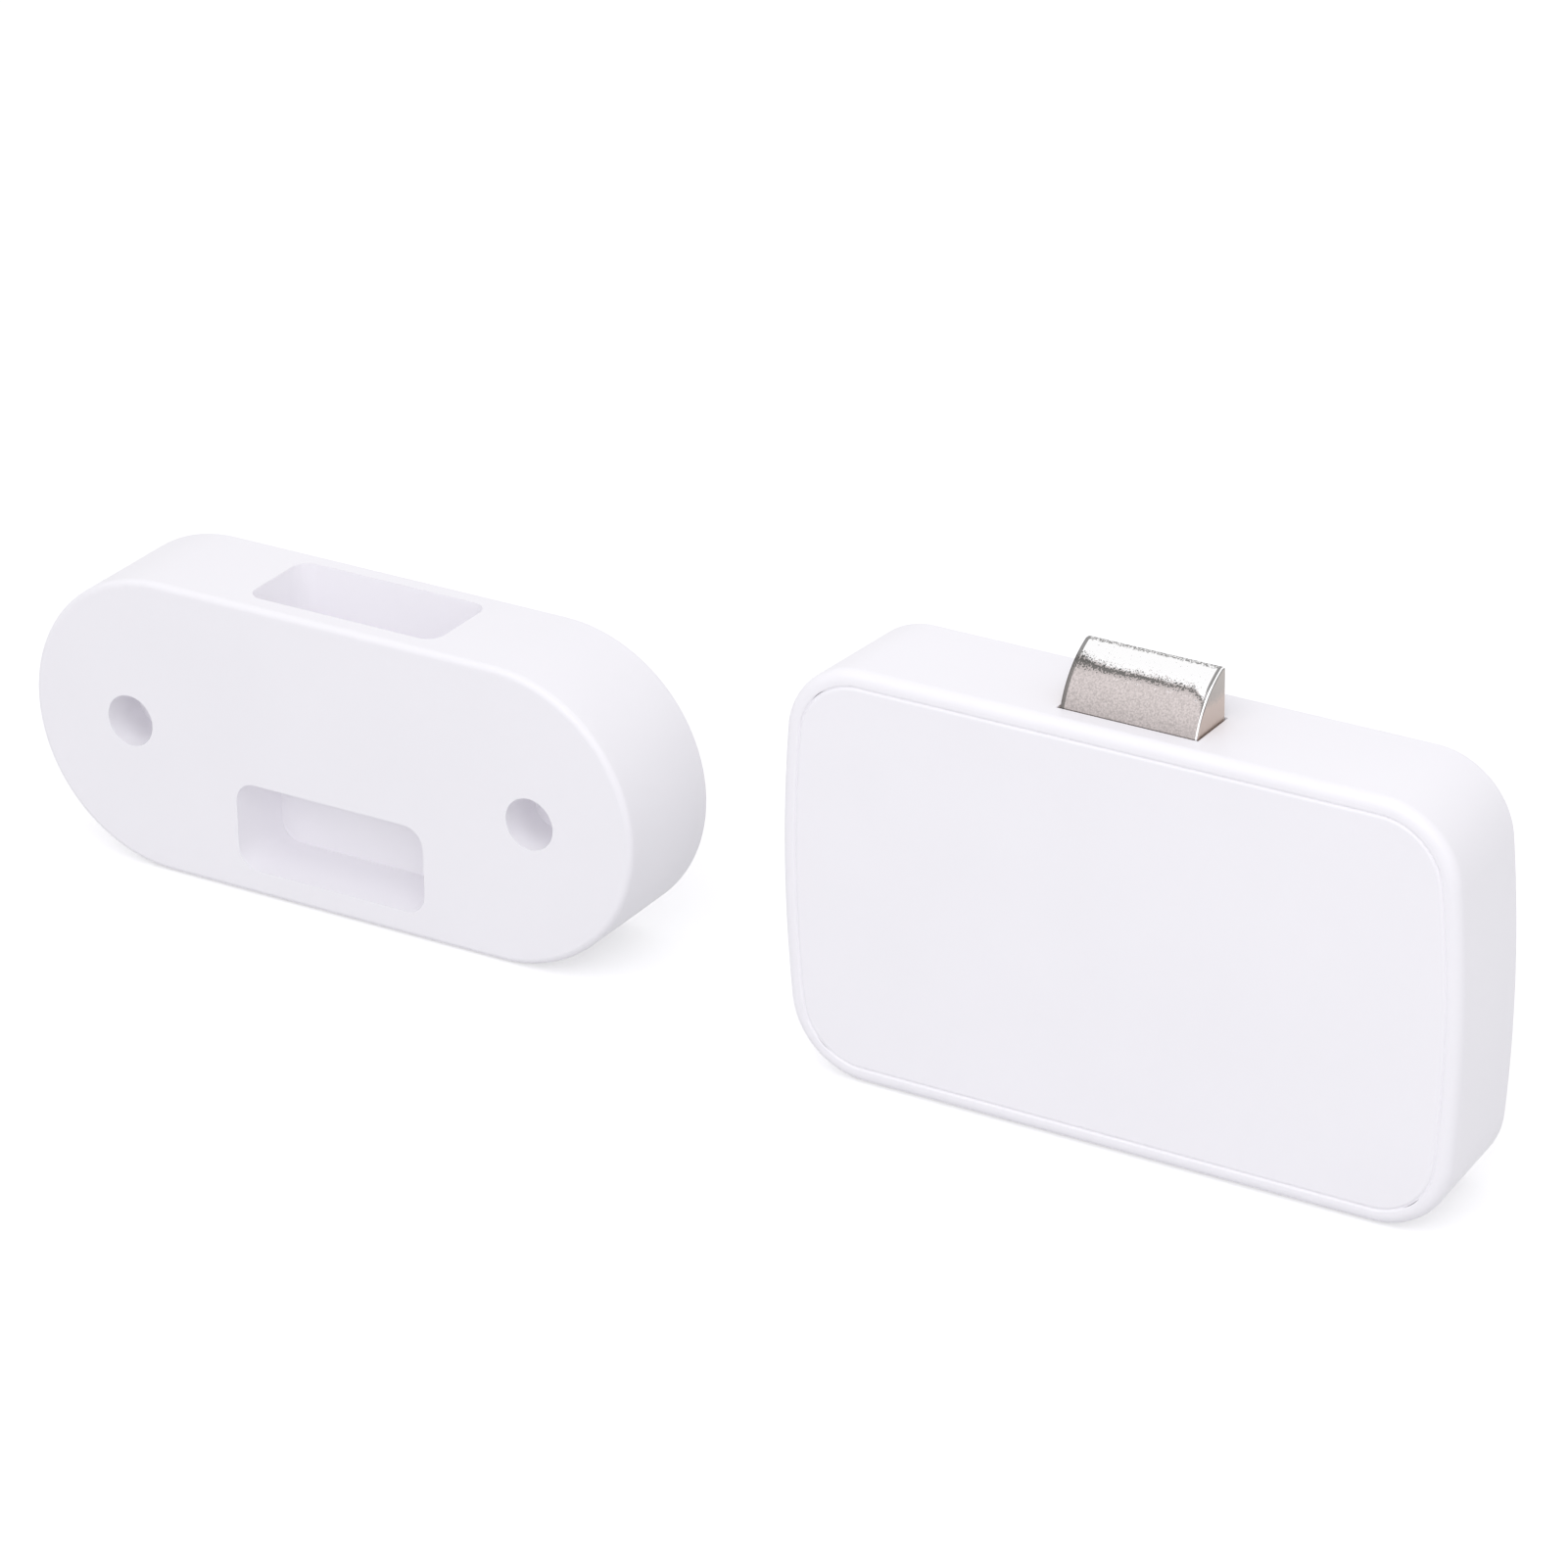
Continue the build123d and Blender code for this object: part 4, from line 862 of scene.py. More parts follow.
@dataclass
class Assembly:
    """Pieces of the lock that belong together."""

    nodes: Mapping[str, bpy.types.Object]

    def dress(self, finish: Finish, *names: str) -> None:
        """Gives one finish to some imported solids.

        Args:
            finish: the finish.
            names: the solids' names.
        """
        for name in names:
            for slot in self.nodes[name].material_slots:
                slot.material = material(finish)
            LOG.info("dressed %s with %s", name, finish.name)

    def add(
        self, name: str, grids: Sequence[np.ndarray], finish: Finish, slot: str, body: str = "lock_case"
    ) -> bpy.types.Object:
        """Makes a new piece and gives it its finish and its body.

        Args:
            name: the piece's name.
            grids: its surfaces.
            finish: its finish.
            slot: not used.
            body: the body that it rides on.

        Returns:
            The piece's object.
        """
        made = solid(name, grids)
        made.data.materials.append(material(finish))
        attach(made, body)
        LOG.info("made %s on %s, %d faces", name, body, len(made.data.polygons))
        return made


@dataclass
class Housing(Assembly):
    """The case, its cover, the seal in the groove between them and the adhesive pad."""

    bulge: float = 1.9 * MM
    corner: float = 8.55 * MM
    seal: float = 0.1 * MM
    seal_out: float = 0.03 * MM
    seal_depth: float = 0.27 * MM

    def build(self) -> None:
        """Dresses the three and lays the seal."""
        self.dress(MouldedWhite("white_case"), "case")
        self.dress(MouldedWhite("white_cover", shade(WHITE, 0.998), 0.40), "front_cover")
        self.dress(FoamPad("foam_liner", (0.80, 0.79, 0.76)), "adhesive_pad")
        low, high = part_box("front_cover")
        middle, half = (low + high) / 2, (high - low) / 2
        path = self.loop(half.x + self.seal_out, half.z + self.seal_out)
        seal = bead(path + (middle.x, low.y + self.seal_depth, middle.z), self.seal)
        self.add("cover_seal", [seal], MouldedWhite("white_seal", roughness=0.5), "cover_white", "lock_cover")

    def loop(self, half_x: float, half_z: float, steps: int = 24) -> np.ndarray:
        """The cover's outline: flat top and bottom, bowed sides and round corners between them.

        A side is a circle of radius R = (half_z^2 + bulge^2) / (2 bulge) about (half_x - R, 0). A
        corner is a circle of its own radius r that touches the top and the side: its centre stands
        r under the top and R - r from the side's centre.

        Args:
            half_x: half of the outline's width at its middle.
            half_z: half of its height.
            steps: points along a corner and along half of a side.

        Returns:
            Points by 3, at depth 0.
        """
        side = (half_z**2 + self.bulge**2) / (2 * self.bulge)
        centre_x = half_x - side
        rise = half_z - self.corner
        corner_x = centre_x + math.sqrt((side - self.corner) ** 2 - rise**2)
        turn = math.atan2(rise, corner_x - centre_x)
        a = np.linspace(QUARTER_TURN, turn, steps)
        b = np.linspace(turn, 0.0, steps)[1:]
        x = np.concatenate([corner_x + self.corner * np.cos(a), centre_x + side * np.cos(b)])
        z = np.concatenate([rise + self.corner * np.sin(a), side * np.sin(b)])
        x = np.concatenate([x, x[-2::-1], -x, -x[-2::-1]])
        z = np.concatenate([z, -z[-2::-1], -z, z[-2::-1]])
        return np.stack([x, 0 * x, z], 1)


@dataclass
class Strike(Assembly):
    """The strike block."""

    def build(self) -> None:
        """Dresses the strike."""
        # The strike's white is a shade darker than the case's: painted shade for the dimmer light that falls
        # on the strike
        self.dress(MouldedWhite("white_strike", shade(WHITE, 0.985), 0.40), "strike_body")


@dataclass
class WoundSpring(Assembly):
    """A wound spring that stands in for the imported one, with finer wire and flat end turns."""

    node: str
    body: str
    radii: Pair
    turns: int
    wire: float = 0.25 * MM
    ease: float = 0.55
    turn_steps: int = 48

    def build(self) -> bpy.types.Object:
        """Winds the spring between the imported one's lowest and highest points.

        It is a helix whose radius goes straight from the lower one to the upper one, and whose rise
        eases at both ends: z = low + span * (t - ease * sin(2 pi t) / (2 pi)).

        Returns:
            The spring.
        """
        low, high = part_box(self.node)
        middle = (low + high) / 2
        t = np.linspace(0, 1, self.turn_steps * self.turns)
        turn = FULL_TURN * self.turns * t
        radius = self.radii[0] + (self.radii[1] - self.radii[0]) * t
        rise = t - self.ease * np.sin(FULL_TURN * t) / FULL_TURN
        z = low.z + self.wire + (high.z - low.z - 2 * self.wire) * rise
        path = np.stack([middle.x + radius * np.cos(turn), middle.y + radius * np.sin(turn), z], 1)
        wire = TurnedMetal("spring_wire", STEEL, 0.2)
        spring = self.add(self.node + "_wound", [tube(path, self.wire)], wire, "spring_steel", self.body)
        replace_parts(spring, self.node)
        return spring


@dataclass
class Latch(Assembly):
    """The bolt and the carriage that draws it."""

    push: float = 7.0 * MM
    head: float = 19.0 * MM
    shoulder_under: float = 6.7 * MM
    spring_radius: float = 2.2 * MM

    def build(self) -> None:
        """Dresses the latch and winds its spring."""
        foot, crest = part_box("case")[1].z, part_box("latch_bolt")[1].z
        nickel = PlatedCasting("nickel_bolt", foot, crest, foot - self.shoulder_under, self.head / 2)
        self.dress(nickel, "latch_bolt")
        self.dress(DullPlastic("grey_carriage", (0.36, 0.38, 0.41), 0.42), "bolt_carriage")
        self.dress(TurnedMetal("magnet_plate", (0.66, 0.66, 0.68), 0.16), "carriage_magnet")
        radii = (self.spring_radius, self.spring_radius)
        spring = WoundSpring(self.nodes, "latch_spring", "carriage", radii, 6)
        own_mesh(spring.build())


@dataclass
class Drive(Assembly):
    """Motor, worm, gear and the plate over them."""

    bush_gap: float = 0.08 * MM
    bush_rise: float = 0.14 * MM
    bush_radius: float = 1.5 * MM
    bush_ease: float = 0.056 * MM

    def build(self) -> None:
        """Dresses the drive."""
        self.dress(TURNED_BRASS, "worm")
        self.dress(DullPlastic("natural_acetal", (0.80, 0.77, 0.68), 0.38), "worm_wheel")
        self.dress(TurnedMetal("ground_steel", (0.68, 0.69, 0.70), 0.14), "motor_shaft", "gear_pin")
        self.dress(RolledSheet("motor_steel", (0.64, 0.65, 0.66), Lay.ALONG_Z, 0.24), "motor_can")
        self.dress(DullPlastic("motor_cap_nylon", (0.05, 0.05, 0.055), 0.46), "motor_cap")
        self.dress(TurnedMetal("tinned_tab", (0.72, 0.71, 0.66), 0.3), "motor_terminals")
        rubber = DullPlastic("cushion_rubber", (0.035, 0.035, 0.037), 0.75, 0.4 * MM, 20.0 * MICRON)
        self.dress(rubber, "motor_cushion")
        self.dress(RolledSheet("zinc_plate", (0.66, 0.68, 0.70)), "mechanism_plate")
        self.dress(TurnedMetal("screw_zinc", (0.55, 0.56, 0.57), 0.26), "plate_screws", "board_screws")
        self.bush()

    def bush(self) -> None:
        """The brass bush round the shaft, on the motor's boss: a ring with eased edges."""
        low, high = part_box("motor_shaft")
        hole = (high.x - low.x) / 2 + self.bush_gap
        rise, wide, ease = self.bush_rise, self.bush_radius, self.bush_ease
        profile = [(hole, 0.0), (hole, rise - ease), (hole + ease, rise), (wide - ease, rise), (wide, 0.0)]
        base = ((low.x + high.x) / 2, (low.y + high.y) / 2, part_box("motor_can")[1].z)
        self.add("motor_bush", [turned(looped(np.array(profile)), base, Z_AXIS)], TURNED_BRASS, "worm_brass")


@dataclass
class Power(Assembly):
    """Cells, their springs and contacts."""

    band: float = 11.0 * MM
    crimps: Pair = (0.6 * MM, 1.0 * MM)
    tip: float = 1.2 * MM
    washer_rise: float = 0.12 * MM
    washer_radii: Pair = (2.05 * MM, 4.3 * MM)
    spring_radii: Pair = (2.9 * MM, 1.8 * MM)

    def build(self) -> None:
        """Dresses the cells and the contacts, and winds the springs."""
        self.cell("battery_cell_left", 1)
        self.cell("battery_cell_right", -1)
        for side, radii in (("left", self.spring_radii), ("right", self.spring_radii[::-1])):
            WoundSpring(self.nodes, "battery_spring_" + side, "lock_case", radii, 4).build()
        strip = RolledSheet("nickel_strip", (0.76, 0.73, 0.66), Lay.ALONG_X, 0.26)
        self.dress(strip, "contact_bridge", "contact_negative", "contact_positive")

    def cell(self, name: str, up: int) -> None:
        """Dresses a cell, with its band at the tip end, and makes the card washer round its tip.

        The washer is a flat ring with eased edges.

        Args:
            name: the cell's name.
            up: 1 if its tip is up, or -1.
        """
        low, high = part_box(name)
        foot, shoulder = (low.z, high.z - self.tip) if up > 0 else (high.z, low.z + self.tip)
        banded = tuple(sorted((shoulder - up * self.band, shoulder + up * self.tip)))
        sleeved = tuple(sorted((foot + up * self.crimps[0], shoulder - up * self.crimps[1])))
        self.dress(CellSleeve(name + "_sleeve", banded, sleeved), name)
        rise, (inner, outer) = self.washer_rise, self.washer_radii
        profile = [(inner, 0.0), (inner + rise / 2, rise), (outer - rise / 2, rise), (outer, 0.0)]
        base = ((low.x + high.x) / 2, (low.y + high.y) / 2, shoulder)
        ring = turned(looped(np.array(profile)), base, (0.0, 0.0, up))
        card = DullPlastic("washer_card", (0.62, 0.60, 0.55), 0.7)
        self.add(name + "_washer", [ring], card, "cell_sleeve")


@dataclass(frozen=True)
class Row:
    """Small two-ended parts in a row. Millimetres from the board's lower left corner."""

    start: Pair
    step: Pair
    count: int
    upright: bool = False


@dataclass(frozen=True)
class Blocks:
    """A piece of like blocks on the board, in millimetres from the board's lower left corner.

    The half sizes are along X, out of the board and along Z, and the lift is the gap under them.
    """

    name: str
    places: tuple[Pair, ...]
    half: Triple
    ease: float
    lift: float
    finish: Finish
    slot: str = "dark_plastic"


@dataclass
class SmallParts(Assembly):
    """Resistors, capacitors, a crystal, the motor's driver, leads and solder on the board.

    The crystal is a seam-welded can on its ceramic base. The reservoir is a moulded tantalum
    capacitor with its stripe and folded ends.
    """

    capacitors: tuple[Row, ...] = (
        Row((22.0, 2.3), (0.0, 1.6), 4),
        Row((26.2, 10.5), (1.6, 0.0), 2, True),
        Row((9.8, 12.8), (0.0, 1.6), 2),
        Row((49.3, 1.6), (0.0, 1.6), 3),
    )
    resistors: tuple[Row, ...] = (
        Row((33.0, 2.2), (0.0, 1.6), 4),
        Row((9.8, 4.3), (0.0, 1.6), 2),
        Row((7.9, 1.4), (2.1, 0.0), 4),
    )
    chip_half: Triple = (0.60, 0.27, 0.40)
    chip_ease: float = 0.05
    end_half: Triple = (0.17, 0.30, 0.43)
    end_ease: float = 0.09
    end_out: float = 0.64
    driver: Pair = (49.4, 8.6)
    driver_half: Triple = (1.42, 0.5, 0.72)
    driver_lift: float = 0.08
    blocks: tuple[Blocks, ...] = (
        Blocks("crystal_base", ((33.3, 9.4),), (1.6, 0.22, 1.05), 0.06, 0.0, CRYSTAL_CERAMIC),
        Blocks("crystal_lid", ((33.3, 9.4),), (1.42, 0.12, 0.88), 0.08, 0.40, CRYSTAL_CAN, "shield_metal"),
        Blocks("reservoir", ((20.0, 14.2),), (1.65, 0.85, 1.25), 0.12, 0.08, TANTALUM_RESIN),
        Blocks("reservoir_stripe", ((18.85, 14.2),), (0.22, 0.86, 1.26), 0.12, 0.08, STRIPE_RESIN),
        Blocks(
            "reservoir_ends",
            ((18.32, 14.2), (21.68, 14.2)),
            (0.08, 0.42, 0.95),
            0.06,
            0.0,
            TINNED_END,
            "contact_metal",
        ),
        Blocks("motor_driver", (driver,), driver_half, 0.08, driver_lift, BLACK_RESIN),
    )
    tab_in: float = 0.9 * MM
    tab_up: float = 0.75 * MM
    strip_in: float = 0.8 * MM
    solder_radius: float = 1.0 * MM
    solder_rise: float = 0.42 * MM

    def build(self) -> None:
        """Makes each kind."""
        ceramic = DullPlastic("capacitor_ceramic", (0.40, 0.27, 0.16), 0.35)
        self.chips("small_capacitors", self.capacitors, ceramic)
        self.chips("small_resistors", self.resistors, DullPlastic("resistor_glaze", (0.03, 0.03, 0.032), 0.3))
        for kind in self.blocks:
            grids = [self.block(place, kind.half, kind.ease, kind.lift) for place in kind.places]
            self.add(kind.name, grids, kind.finish, kind.slot)
        self.leads()
        self.solder()

    def block(self, place: Pair, half: Sequence[float], ease: float, lift: float = 0.0) -> np.ndarray:
        """A block that stands on the board, in millimetres.

        Args:
            place: its middle, from the board's lower left corner.
            half: half sizes along X, out of the board and along Z.
            ease: the radius of its edges.
            lift: the gap under it.

        Returns:
            The grid of points.
        """
        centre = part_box("circuit_board")[0] + Vector((place[0], -half[1] - lift, place[1])) * MM
        return eased_block(centre, np.array(half) * MM, ease * MM)

    def chips(self, name: str, rows: Sequence[Row], finish: Finish) -> None:
        """Makes ceramic bodies between tinned ends that wrap round them.

        Args:
            name: the name of the piece with the bodies.
            rows: where they stand.
            finish: the bodies' finish.
        """
        bodies, ends = [], []
        for row in rows:
            order = -1 if row.upright else 1
            for k in range(row.count):
                x, z = (start + k * step for start, step in zip(row.start, row.step))
                bodies.append(self.block((x, z), self.chip_half[::order], self.chip_ease))
                for side in (-self.end_out, self.end_out):
                    across, along = (side, 0.0)[::order]
                    ends.append(self.block((x + across, z + along), self.end_half[::order], self.end_ease))
        self.add(name, bodies, finish, "dark_plastic")
        self.add(name + "_ends", ends, TINNED_END, "contact_metal")

    def leads(self) -> None:
        """Leads of the driver, of the controller on all four sides, and of the field sensor below."""
        (x, z), (wide, deep, tall) = self.driver, self.driver_half
        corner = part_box("circuit_board")[0]
        low = corner + Vector((x - wide, -2 * deep - self.driver_lift, z - tall)) * MM
        high = corner + Vector((x + wide, 0.0, z + tall)) * MM
        legs = gull_leads((low, high), ((0, -1), (0, 1)), 3, (0.95, 0.38, 0.55))
        self.add("motor_driver_leads", legs, TINNED_END, "contact_metal")
        sides = ((1, 0), (-1, 0), (0, 1), (0, -1))
        legs = gull_leads(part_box("controller_chip"), sides, 11, (0.5, 0.24, 0.8))
        legs += gull_leads(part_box("hall_sensor"), sides[3:], 3, (0.95, 0.36, 0.7))
        self.add("chip_leads", legs, TINNED_END, "contact_metal")

    def solder(self) -> None:
        """Solder at the feet of the motor's tabs and the turned-up contact strip.

        Each is turned from radius = solder_radius * (1 - t^1.6) and height = solder_rise * t^0.8 *
        (1/4 + 3/4 t).
        """
        low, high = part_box("motor_terminals")
        corner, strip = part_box("circuit_board")[0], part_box("contact_positive")[1]
        feet = [(x, low.z + self.tab_up) for x in (low.x + self.tab_in, high.x - self.tab_in)]
        feet.append((strip.x - self.strip_in, corner.z + self.strip_in))
        t = np.linspace(0, 1, 12)
        height = self.solder_rise * t**0.8 * (0.25 + 0.75 * t)
        profile = np.stack([self.solder_radius * (1 - t**1.6), height], 1)
        mounds = [turned(profile, (x, corner.y, z), OUT, 24) for x, z in feet]
        self.add("solder_joints", mounds, TurnedMetal("solder", (0.70, 0.71, 0.72), 0.18), "contact_metal")


@dataclass
class RadioModule(Assembly):
    """The radio: a small laminate with a folded shield, plated half holes and a printed aerial."""

    laminate: float = 0.8 * MM
    laminate_ease: float = 0.06 * MM
    shield_share: float = 0.72
    shield_in: float = 0.35 * MM
    shield_ease: float = 0.22 * MM
    pads: int = 9
    pad_half: Pair = (0.26 * MM, 0.14 * MM)
    pad_proud: float = 0.02 * MM
    pad_ease: float = 0.05 * MM
    pad_in: Pair = (0.6 * MM, 0.1 * MM)
    pad_spare: float = 1.0 * MM
    swings: int = 7
    aerial_in: Pair = (0.4 * MM, 0.9 * MM)
    aerial_half: float = 0.14 * MM
    aerial_thick: float = 0.03 * MM
    aerial_lift: float = 0.01 * MM

    def build(self) -> None:
        """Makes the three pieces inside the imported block."""
        low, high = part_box("radio_module")
        middle, size = (low + high) / 2, high - low
        half = (size.x / 2, self.laminate / 2, size.z / 2)
        base = eased_block((middle.x, high.y - half[1], middle.z), half, self.laminate_ease)
        mask = DullPlastic("module_mask", (0.012, 0.045, 0.12), 0.3)
        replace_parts(self.add("radio_laminate", [base], mask, "board_green"), "radio_module")
        half = (size.x * self.shield_share / 2, (size.y - self.laminate) / 2, size.z / 2 - self.shield_in)
        x = low.x + half[0] + self.shield_in
        shield = eased_block((x, low.y + half[1], middle.z), half, self.shield_ease, 6)
        tin = RolledSheet("shield_tin", (0.70, 0.71, 0.72), Lay.ALONG_X, 0.28)
        self.add("radio_shield", [shield], tin, "shield_metal")
        self.gold(low, high, x + half[0])

    def gold(self, low: Vector, high: Vector, aerial_from: float) -> None:
        """Makes the pads along both long edges, and the aerial.

        The aerial runs to and fro: x = start + run * t, z = middle + swing * tanh(6 sin(7 pi t)).

        Args:
            low: the module's lowest corner.
            high: its highest corner.
            aerial_from: the shield's right edge, where the aerial's field starts.
        """
        back = self.laminate / 2
        pad = (self.pad_half[0], back + self.pad_proud, self.pad_half[1])
        step = (aerial_from - low.x - self.pad_spare) / (self.pads - 1)
        edges = (low.z + self.pad_in[1], high.z - self.pad_in[1])
        middles = [low.x + self.pad_in[0] + step * k for k in range(self.pads)]
        grids = [eased_block((x, high.y - back, edge), pad, self.pad_ease) for x in middles for edge in edges]
        t = np.linspace(0, 1, 150)
        x = aerial_from + self.aerial_in[0] + (high.x - aerial_from - 2 * self.aerial_in[0]) * t
        swing = (high.z - low.z) / 2 - self.aerial_in[1]
        z = (low.z + high.z) / 2 + swing * np.tanh(6 * np.sin(self.swings * math.pi * t))
        face = high.y - self.laminate - self.aerial_lift
        path = np.stack([x, 0 * t + face, z], 1)
        grids.append(flat_track(path, self.aerial_half, self.aerial_thick))
        self.add("radio_gold", grids, TurnedMetal("plated_gold", (0.86, 0.62, 0.28), 0.2), "contact_metal")


@dataclass
class Electronics(Assembly):
    """The board and what it carries."""

    plate: float = 0.2 * MM
    plate_in: float = 0.15 * MM
    stem_gap: float = 0.25 * MM
    rivet_radius: float = 0.42 * MM
    rivet_rise: float = 0.22 * MM
    rivet_share: float = 0.78
    light_end: Pair = (0.16 * MM, 0.14 * MM)
    light_end_proud: float = 0.02 * MM
    light_end_ease: float = 0.05 * MM
    light_end_up: float = 0.2 * MM
    glow_radius: float = 0.62 * MM
    glow_rise: float = 0.06 * MM

    def build(self) -> None:
        """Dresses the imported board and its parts, and makes the pieces on them."""
        mask = SolderMask("green_board", (0.012, 0.10, 0.045), (0.02, 0.17, 0.075), (0.70, 0.68, 0.62))
        self.dress(mask, "circuit_board")
        self.dress(BLACK_RESIN, "controller_chip", "hall_sensor", "buzzer")
        self.dress(DullPlastic("black_switch", (0.03, 0.03, 0.032), 0.5), "pairing_switch")
        self.dress(DullPlastic("red_button", (0.42, 0.03, 0.025), 0.36), "pairing_button")
        self.dress(DullPlastic("lamp_lens", (0.75, 0.78, 0.62), 0.12), "status_light")
        self.switch_plate()
        self.lamp()
        RadioModule(self.nodes).build()
        SmallParts(self.nodes).build()

    def switch_plate(self) -> None:
        """The switch's steel plate, with a hole for the stem and four riveted corners."""
        low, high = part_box("pairing_switch")
        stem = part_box("pairing_button")
        x, z = (low.x + high.x) / 2, (low.z + high.z) / 2
        half = (high.x - low.x) / 2 - self.plate_in
        hole = (stem[1].x - stem[0].x) / 2 + self.stem_gap
        turn = np.linspace(0, QUARTER_TURN, 7)
        dome = [self.rivet_radius * np.cos(turn), self.plate + self.rivet_rise * np.sin(turn)]
        reach = self.rivet_share * half
        places = [(x + a * reach, low.y, z + b * reach) for a in (-1, 1) for b in (-1, 1)]
        grids = [turned(np.stack(dome, 1), place, OUT, 20) for place in places]
        grids.insert(0, holed_plate((x, low.y, z), half, hole, self.plate))
        self.add("switch_plate", grids, RolledSheet("switch_steel", (0.66, 0.67, 0.68)), "contact_metal")

    def lamp(self) -> None:
        """The status light's tinned ends and the yellow phosphor in its window."""
        low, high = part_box("status_light")
        middle = (low + high) / 2
        half = (*self.light_end, (high.z - low.z) / 2 + self.light_end_proud)
        places = [(x, high.y - self.light_end_up, middle.z) for x in (low.x, high.x)]
        ends = [eased_block(place, half, self.light_end_ease) for place in places]
        turn = np.linspace(0, QUARTER_TURN, 8)
        dome = np.stack([self.glow_radius * np.cos(turn), self.glow_rise * np.sin(turn)], 1)
        glow = turned(dome, (middle.x, low.y, middle.z), OUT, 28)
        self.add("light_ends", ends, TINNED_END, "contact_metal")
        self.add("light_phosphor", [glow], DullPlastic("phosphor", (0.80, 0.66, 0.10), 0.4), "light_lens")


# Stage


@dataclass(frozen=True)
class Camera:
    """The camera that the photograph was fitted to. Lengths in millimetres, angles in degrees."""

    azimuth: float = 31.925
    elevation: float = 25.552
    roll: float = 0.899
    distance: float = 864.548
    focal_px: float = 6982.863
    target: Triple = (-52.167, -8.7, 6.018)
    image_px: int = 1601
    sensor: float = 36.0
    clip: Pair = (0.01, 20.0)

    def build(self) -> None:
        """Places the camera: back along its forward axis from the target, then rolled."""
        az, el, roll = (math.radians(angle) for angle in (self.azimuth, self.elevation, self.roll))
        forward = Vector((-math.sin(az) * math.cos(el), math.cos(az) * math.cos(el), -math.sin(el)))
        right = forward.cross(Vector(Z_AXIS)).normalized()
        down = forward.cross(right)
        right_rolled = math.cos(roll) * right + math.sin(roll) * down
        down_rolled = -math.sin(roll) * right + math.cos(roll) * down
        turn = Matrix((right_rolled, -down_rolled, -forward)).transposed()
        data = bpy.data.cameras.new("photo_camera")
        data.sensor_width = self.sensor
        data.lens = self.focal_px * self.sensor / self.image_px
        data.clip_start, data.clip_end = self.clip
        made = bpy.data.objects.new("photo_camera", data)
        place = (Vector(self.target) - forward * self.distance) * MM
        made.matrix_world = Matrix.Translation(place) @ turn.to_4x4()
        bpy.context.scene.collection.objects.link(made)
        bpy.context.scene.camera = made


@dataclass(frozen=True)
class Lamp:
    """A soft rectangular lamp that points at a place. Millimetres and watts."""

    name: str
    place: Triple
    size: Pair
    power: float
    aim: Triple = (-45.0, 0.0, 0.0)
    colour: Colour = DAYLIGHT

    def build(self) -> None:
        """Makes the lamp."""
        data = bpy.data.lights.new(self.name, "AREA")
        data.shape = "RECTANGLE"
        data.size, data.size_y = self.size[0] * MM, self.size[1] * MM
        data.energy = self.power
        data.color = self.colour
        made = bpy.data.objects.new(self.name, data)
        made.location = Vector(self.place) * MM
        aim = Vector(self.aim) * MM - made.location
        made.rotation_euler = aim.to_track_quat("-Z", "Y").to_euler()
        bpy.context.scene.collection.objects.link(made)


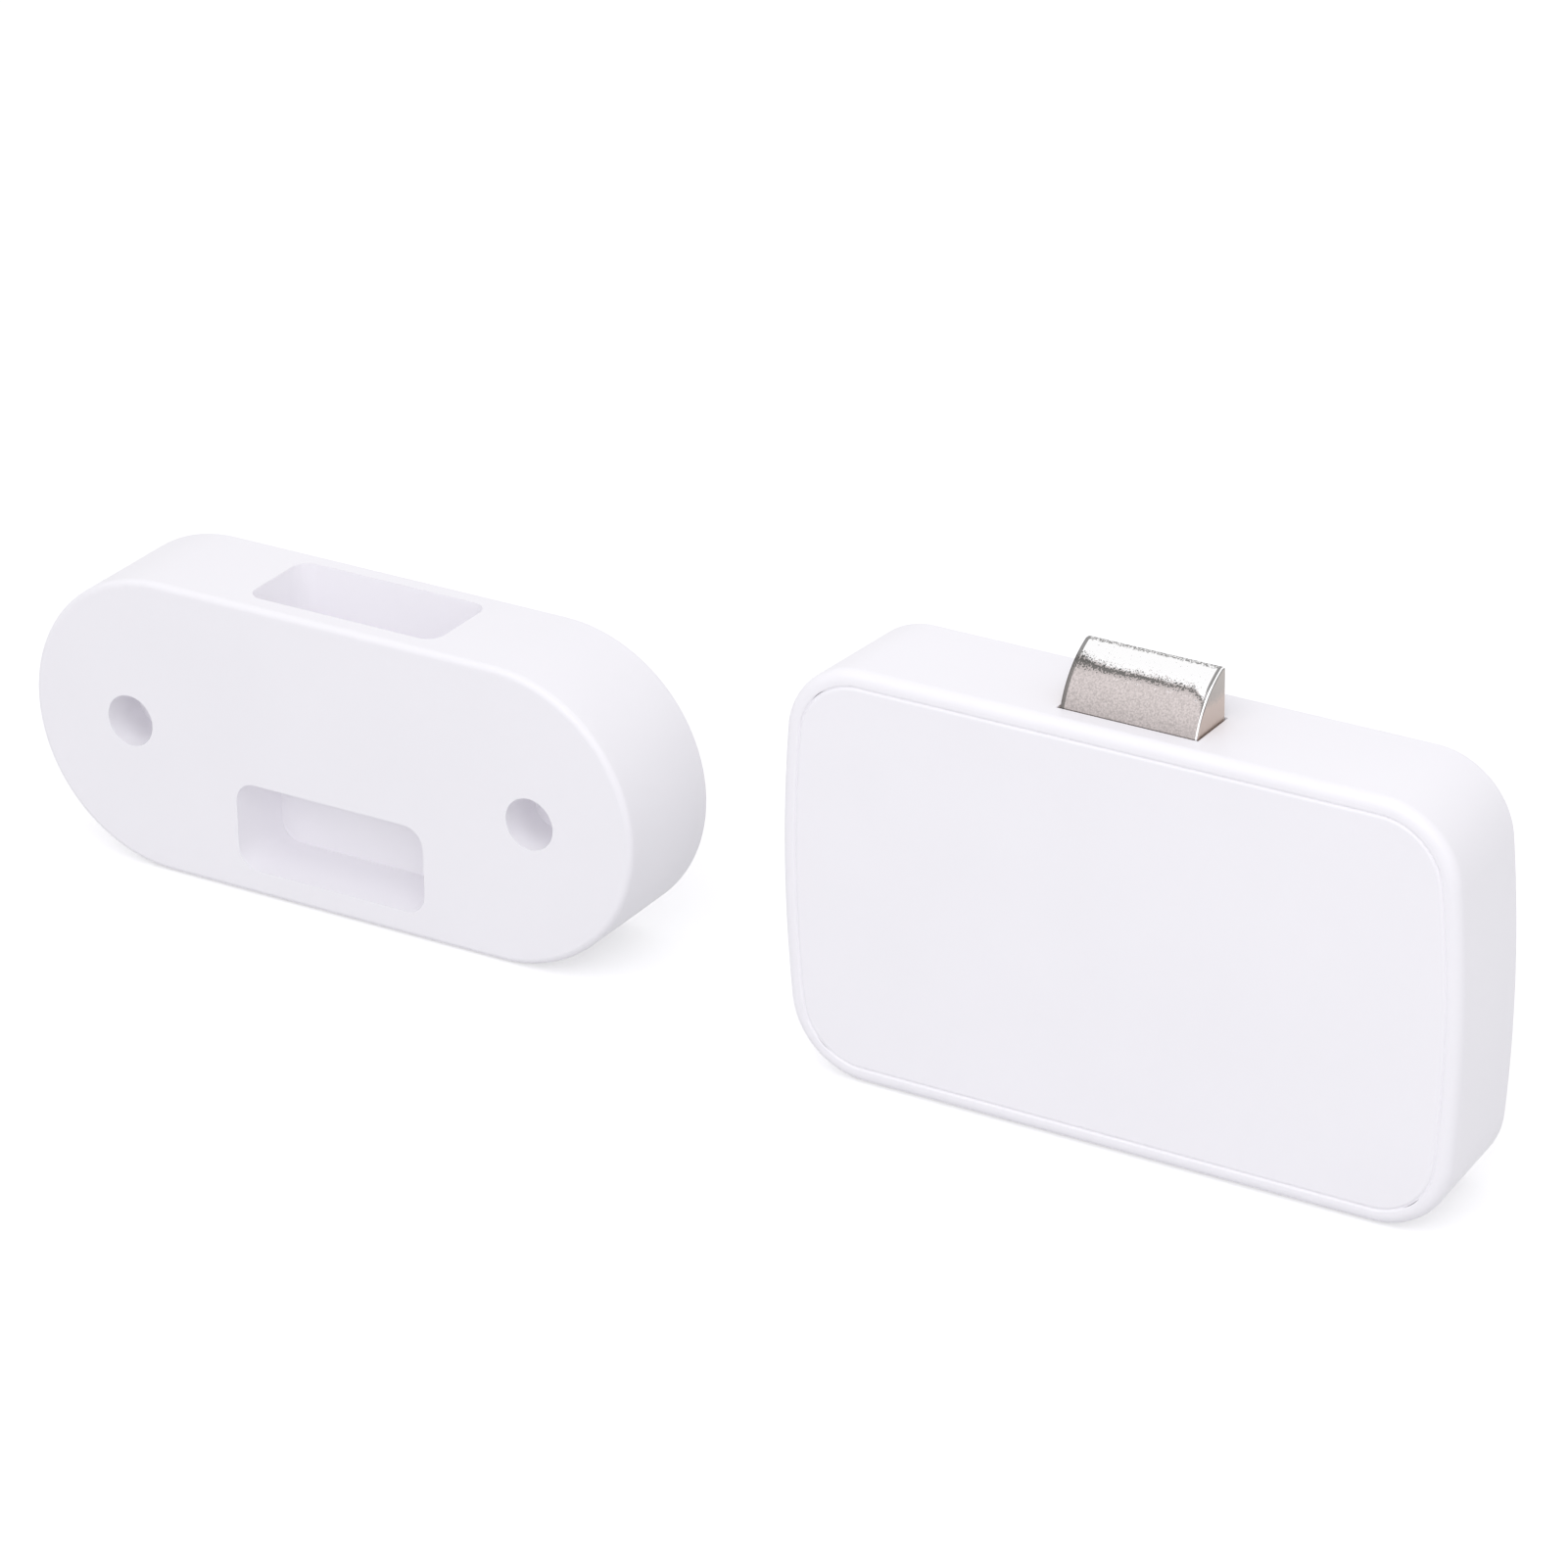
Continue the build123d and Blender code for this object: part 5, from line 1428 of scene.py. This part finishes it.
@dataclass
class Studio:
    """Pale floor, plain world, lamps and the camera."""

    ambient: float = 0.81
    bounces: int = 12
    floor_half: float = 2.0
    floor_gap: float = 0.2 * MM
    floor_lift: float = 0.5
    floor_colour: Colour = (0.62, 0.62, 0.63)
    lamps: tuple[Lamp, ...] = (
        Lamp("key", (60.0, -560.0, 660.0), (1000.0, 800.0), 2.63),
        Lamp("fill", (600.0, -700.0, 250.0), (700.0, 500.0), 0.6),
    )

    def build(self) -> None:
        """Makes the world, the floor, the lamps and the camera.

        Light in a white hollow bounces many times, so it isn't cut off after four.
        """
        self.world()
        self.floor(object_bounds()[0].z - self.floor_gap)
        for lamp in self.lamps:
            lamp.build()
        Camera().build()
        scene = bpy.context.scene
        scene.view_settings.view_transform = "Standard"
        scene.cycles.diffuse_bounces = self.bounces

    def world(self) -> None:
        """White to the camera and in reflections, and a plain daylight on everything."""
        world = bpy.data.worlds.new("studio")
        bpy.context.scene.world = world
        world.use_nodes = True
        nodes = Nodes(world.node_tree)
        plain = nodes.out("ShaderNodeBackground", {"Color": DAYLIGHT, "Strength": self.ambient})
        white = nodes.out("ShaderNodeBackground", {"Color": PLAIN_WHITE, "Strength": 1.0})
        both = nodes.out("ShaderNodeMixShader", {0: nodes.seen(), 1: plain, 2: white})
        nodes.node("ShaderNodeOutputWorld", {0: both})

    def floor(self, height: float) -> None:
        """A flat pale sheet under the object, lifted to white for the camera except in shadow.

        Args:
            height: the sheet's height.
        """
        across = np.linspace(-self.floor_half, self.floor_half, 9)
        x, y = np.meshgrid(across, across, indexing="ij")
        made = solid("floor", [np.stack([x, y, 0 * x + height], -1)], closed=False)
        shader = Shader("floor_paper")
        glow = {"Color": PLAIN_WHITE, "Strength": self.floor_lift * shader.seen()}
        both = {0: shader.surface.outputs[0], 1: shader.out("ShaderNodeEmission", glow)}
        shader.feed(shader.output.inputs["Surface"], shader.out("ShaderNodeAddShader", both))
        normal = shader.bump(shader.noise(1.2 * MM), 10.0 * MICRON)
        made.data.materials.append(
            shader.finish(Base_Color=self.floor_colour, Roughness=0.9, Normal=normal)
        )
        made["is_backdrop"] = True


def main(frame: Mapping[str, object]) -> None:
    """Builds the sub-assemblies in order, then the stage.
    """
    logging.basicConfig(level=logging.INFO, format="%(message)s")
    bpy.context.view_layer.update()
    for part in (Housing, Strike, Latch, Drive, Power, Electronics):
        LOG.info("building %s", part.__name__)
        part(frame["nodes"]).build()
    Studio().build()


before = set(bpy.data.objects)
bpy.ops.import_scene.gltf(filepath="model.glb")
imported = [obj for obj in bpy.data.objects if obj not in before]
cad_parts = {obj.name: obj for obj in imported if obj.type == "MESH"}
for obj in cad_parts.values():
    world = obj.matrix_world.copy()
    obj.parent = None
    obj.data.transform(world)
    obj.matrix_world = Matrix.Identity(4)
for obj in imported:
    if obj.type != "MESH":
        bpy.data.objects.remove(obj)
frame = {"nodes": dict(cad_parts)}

if __name__ == "__main__":
    main(frame)
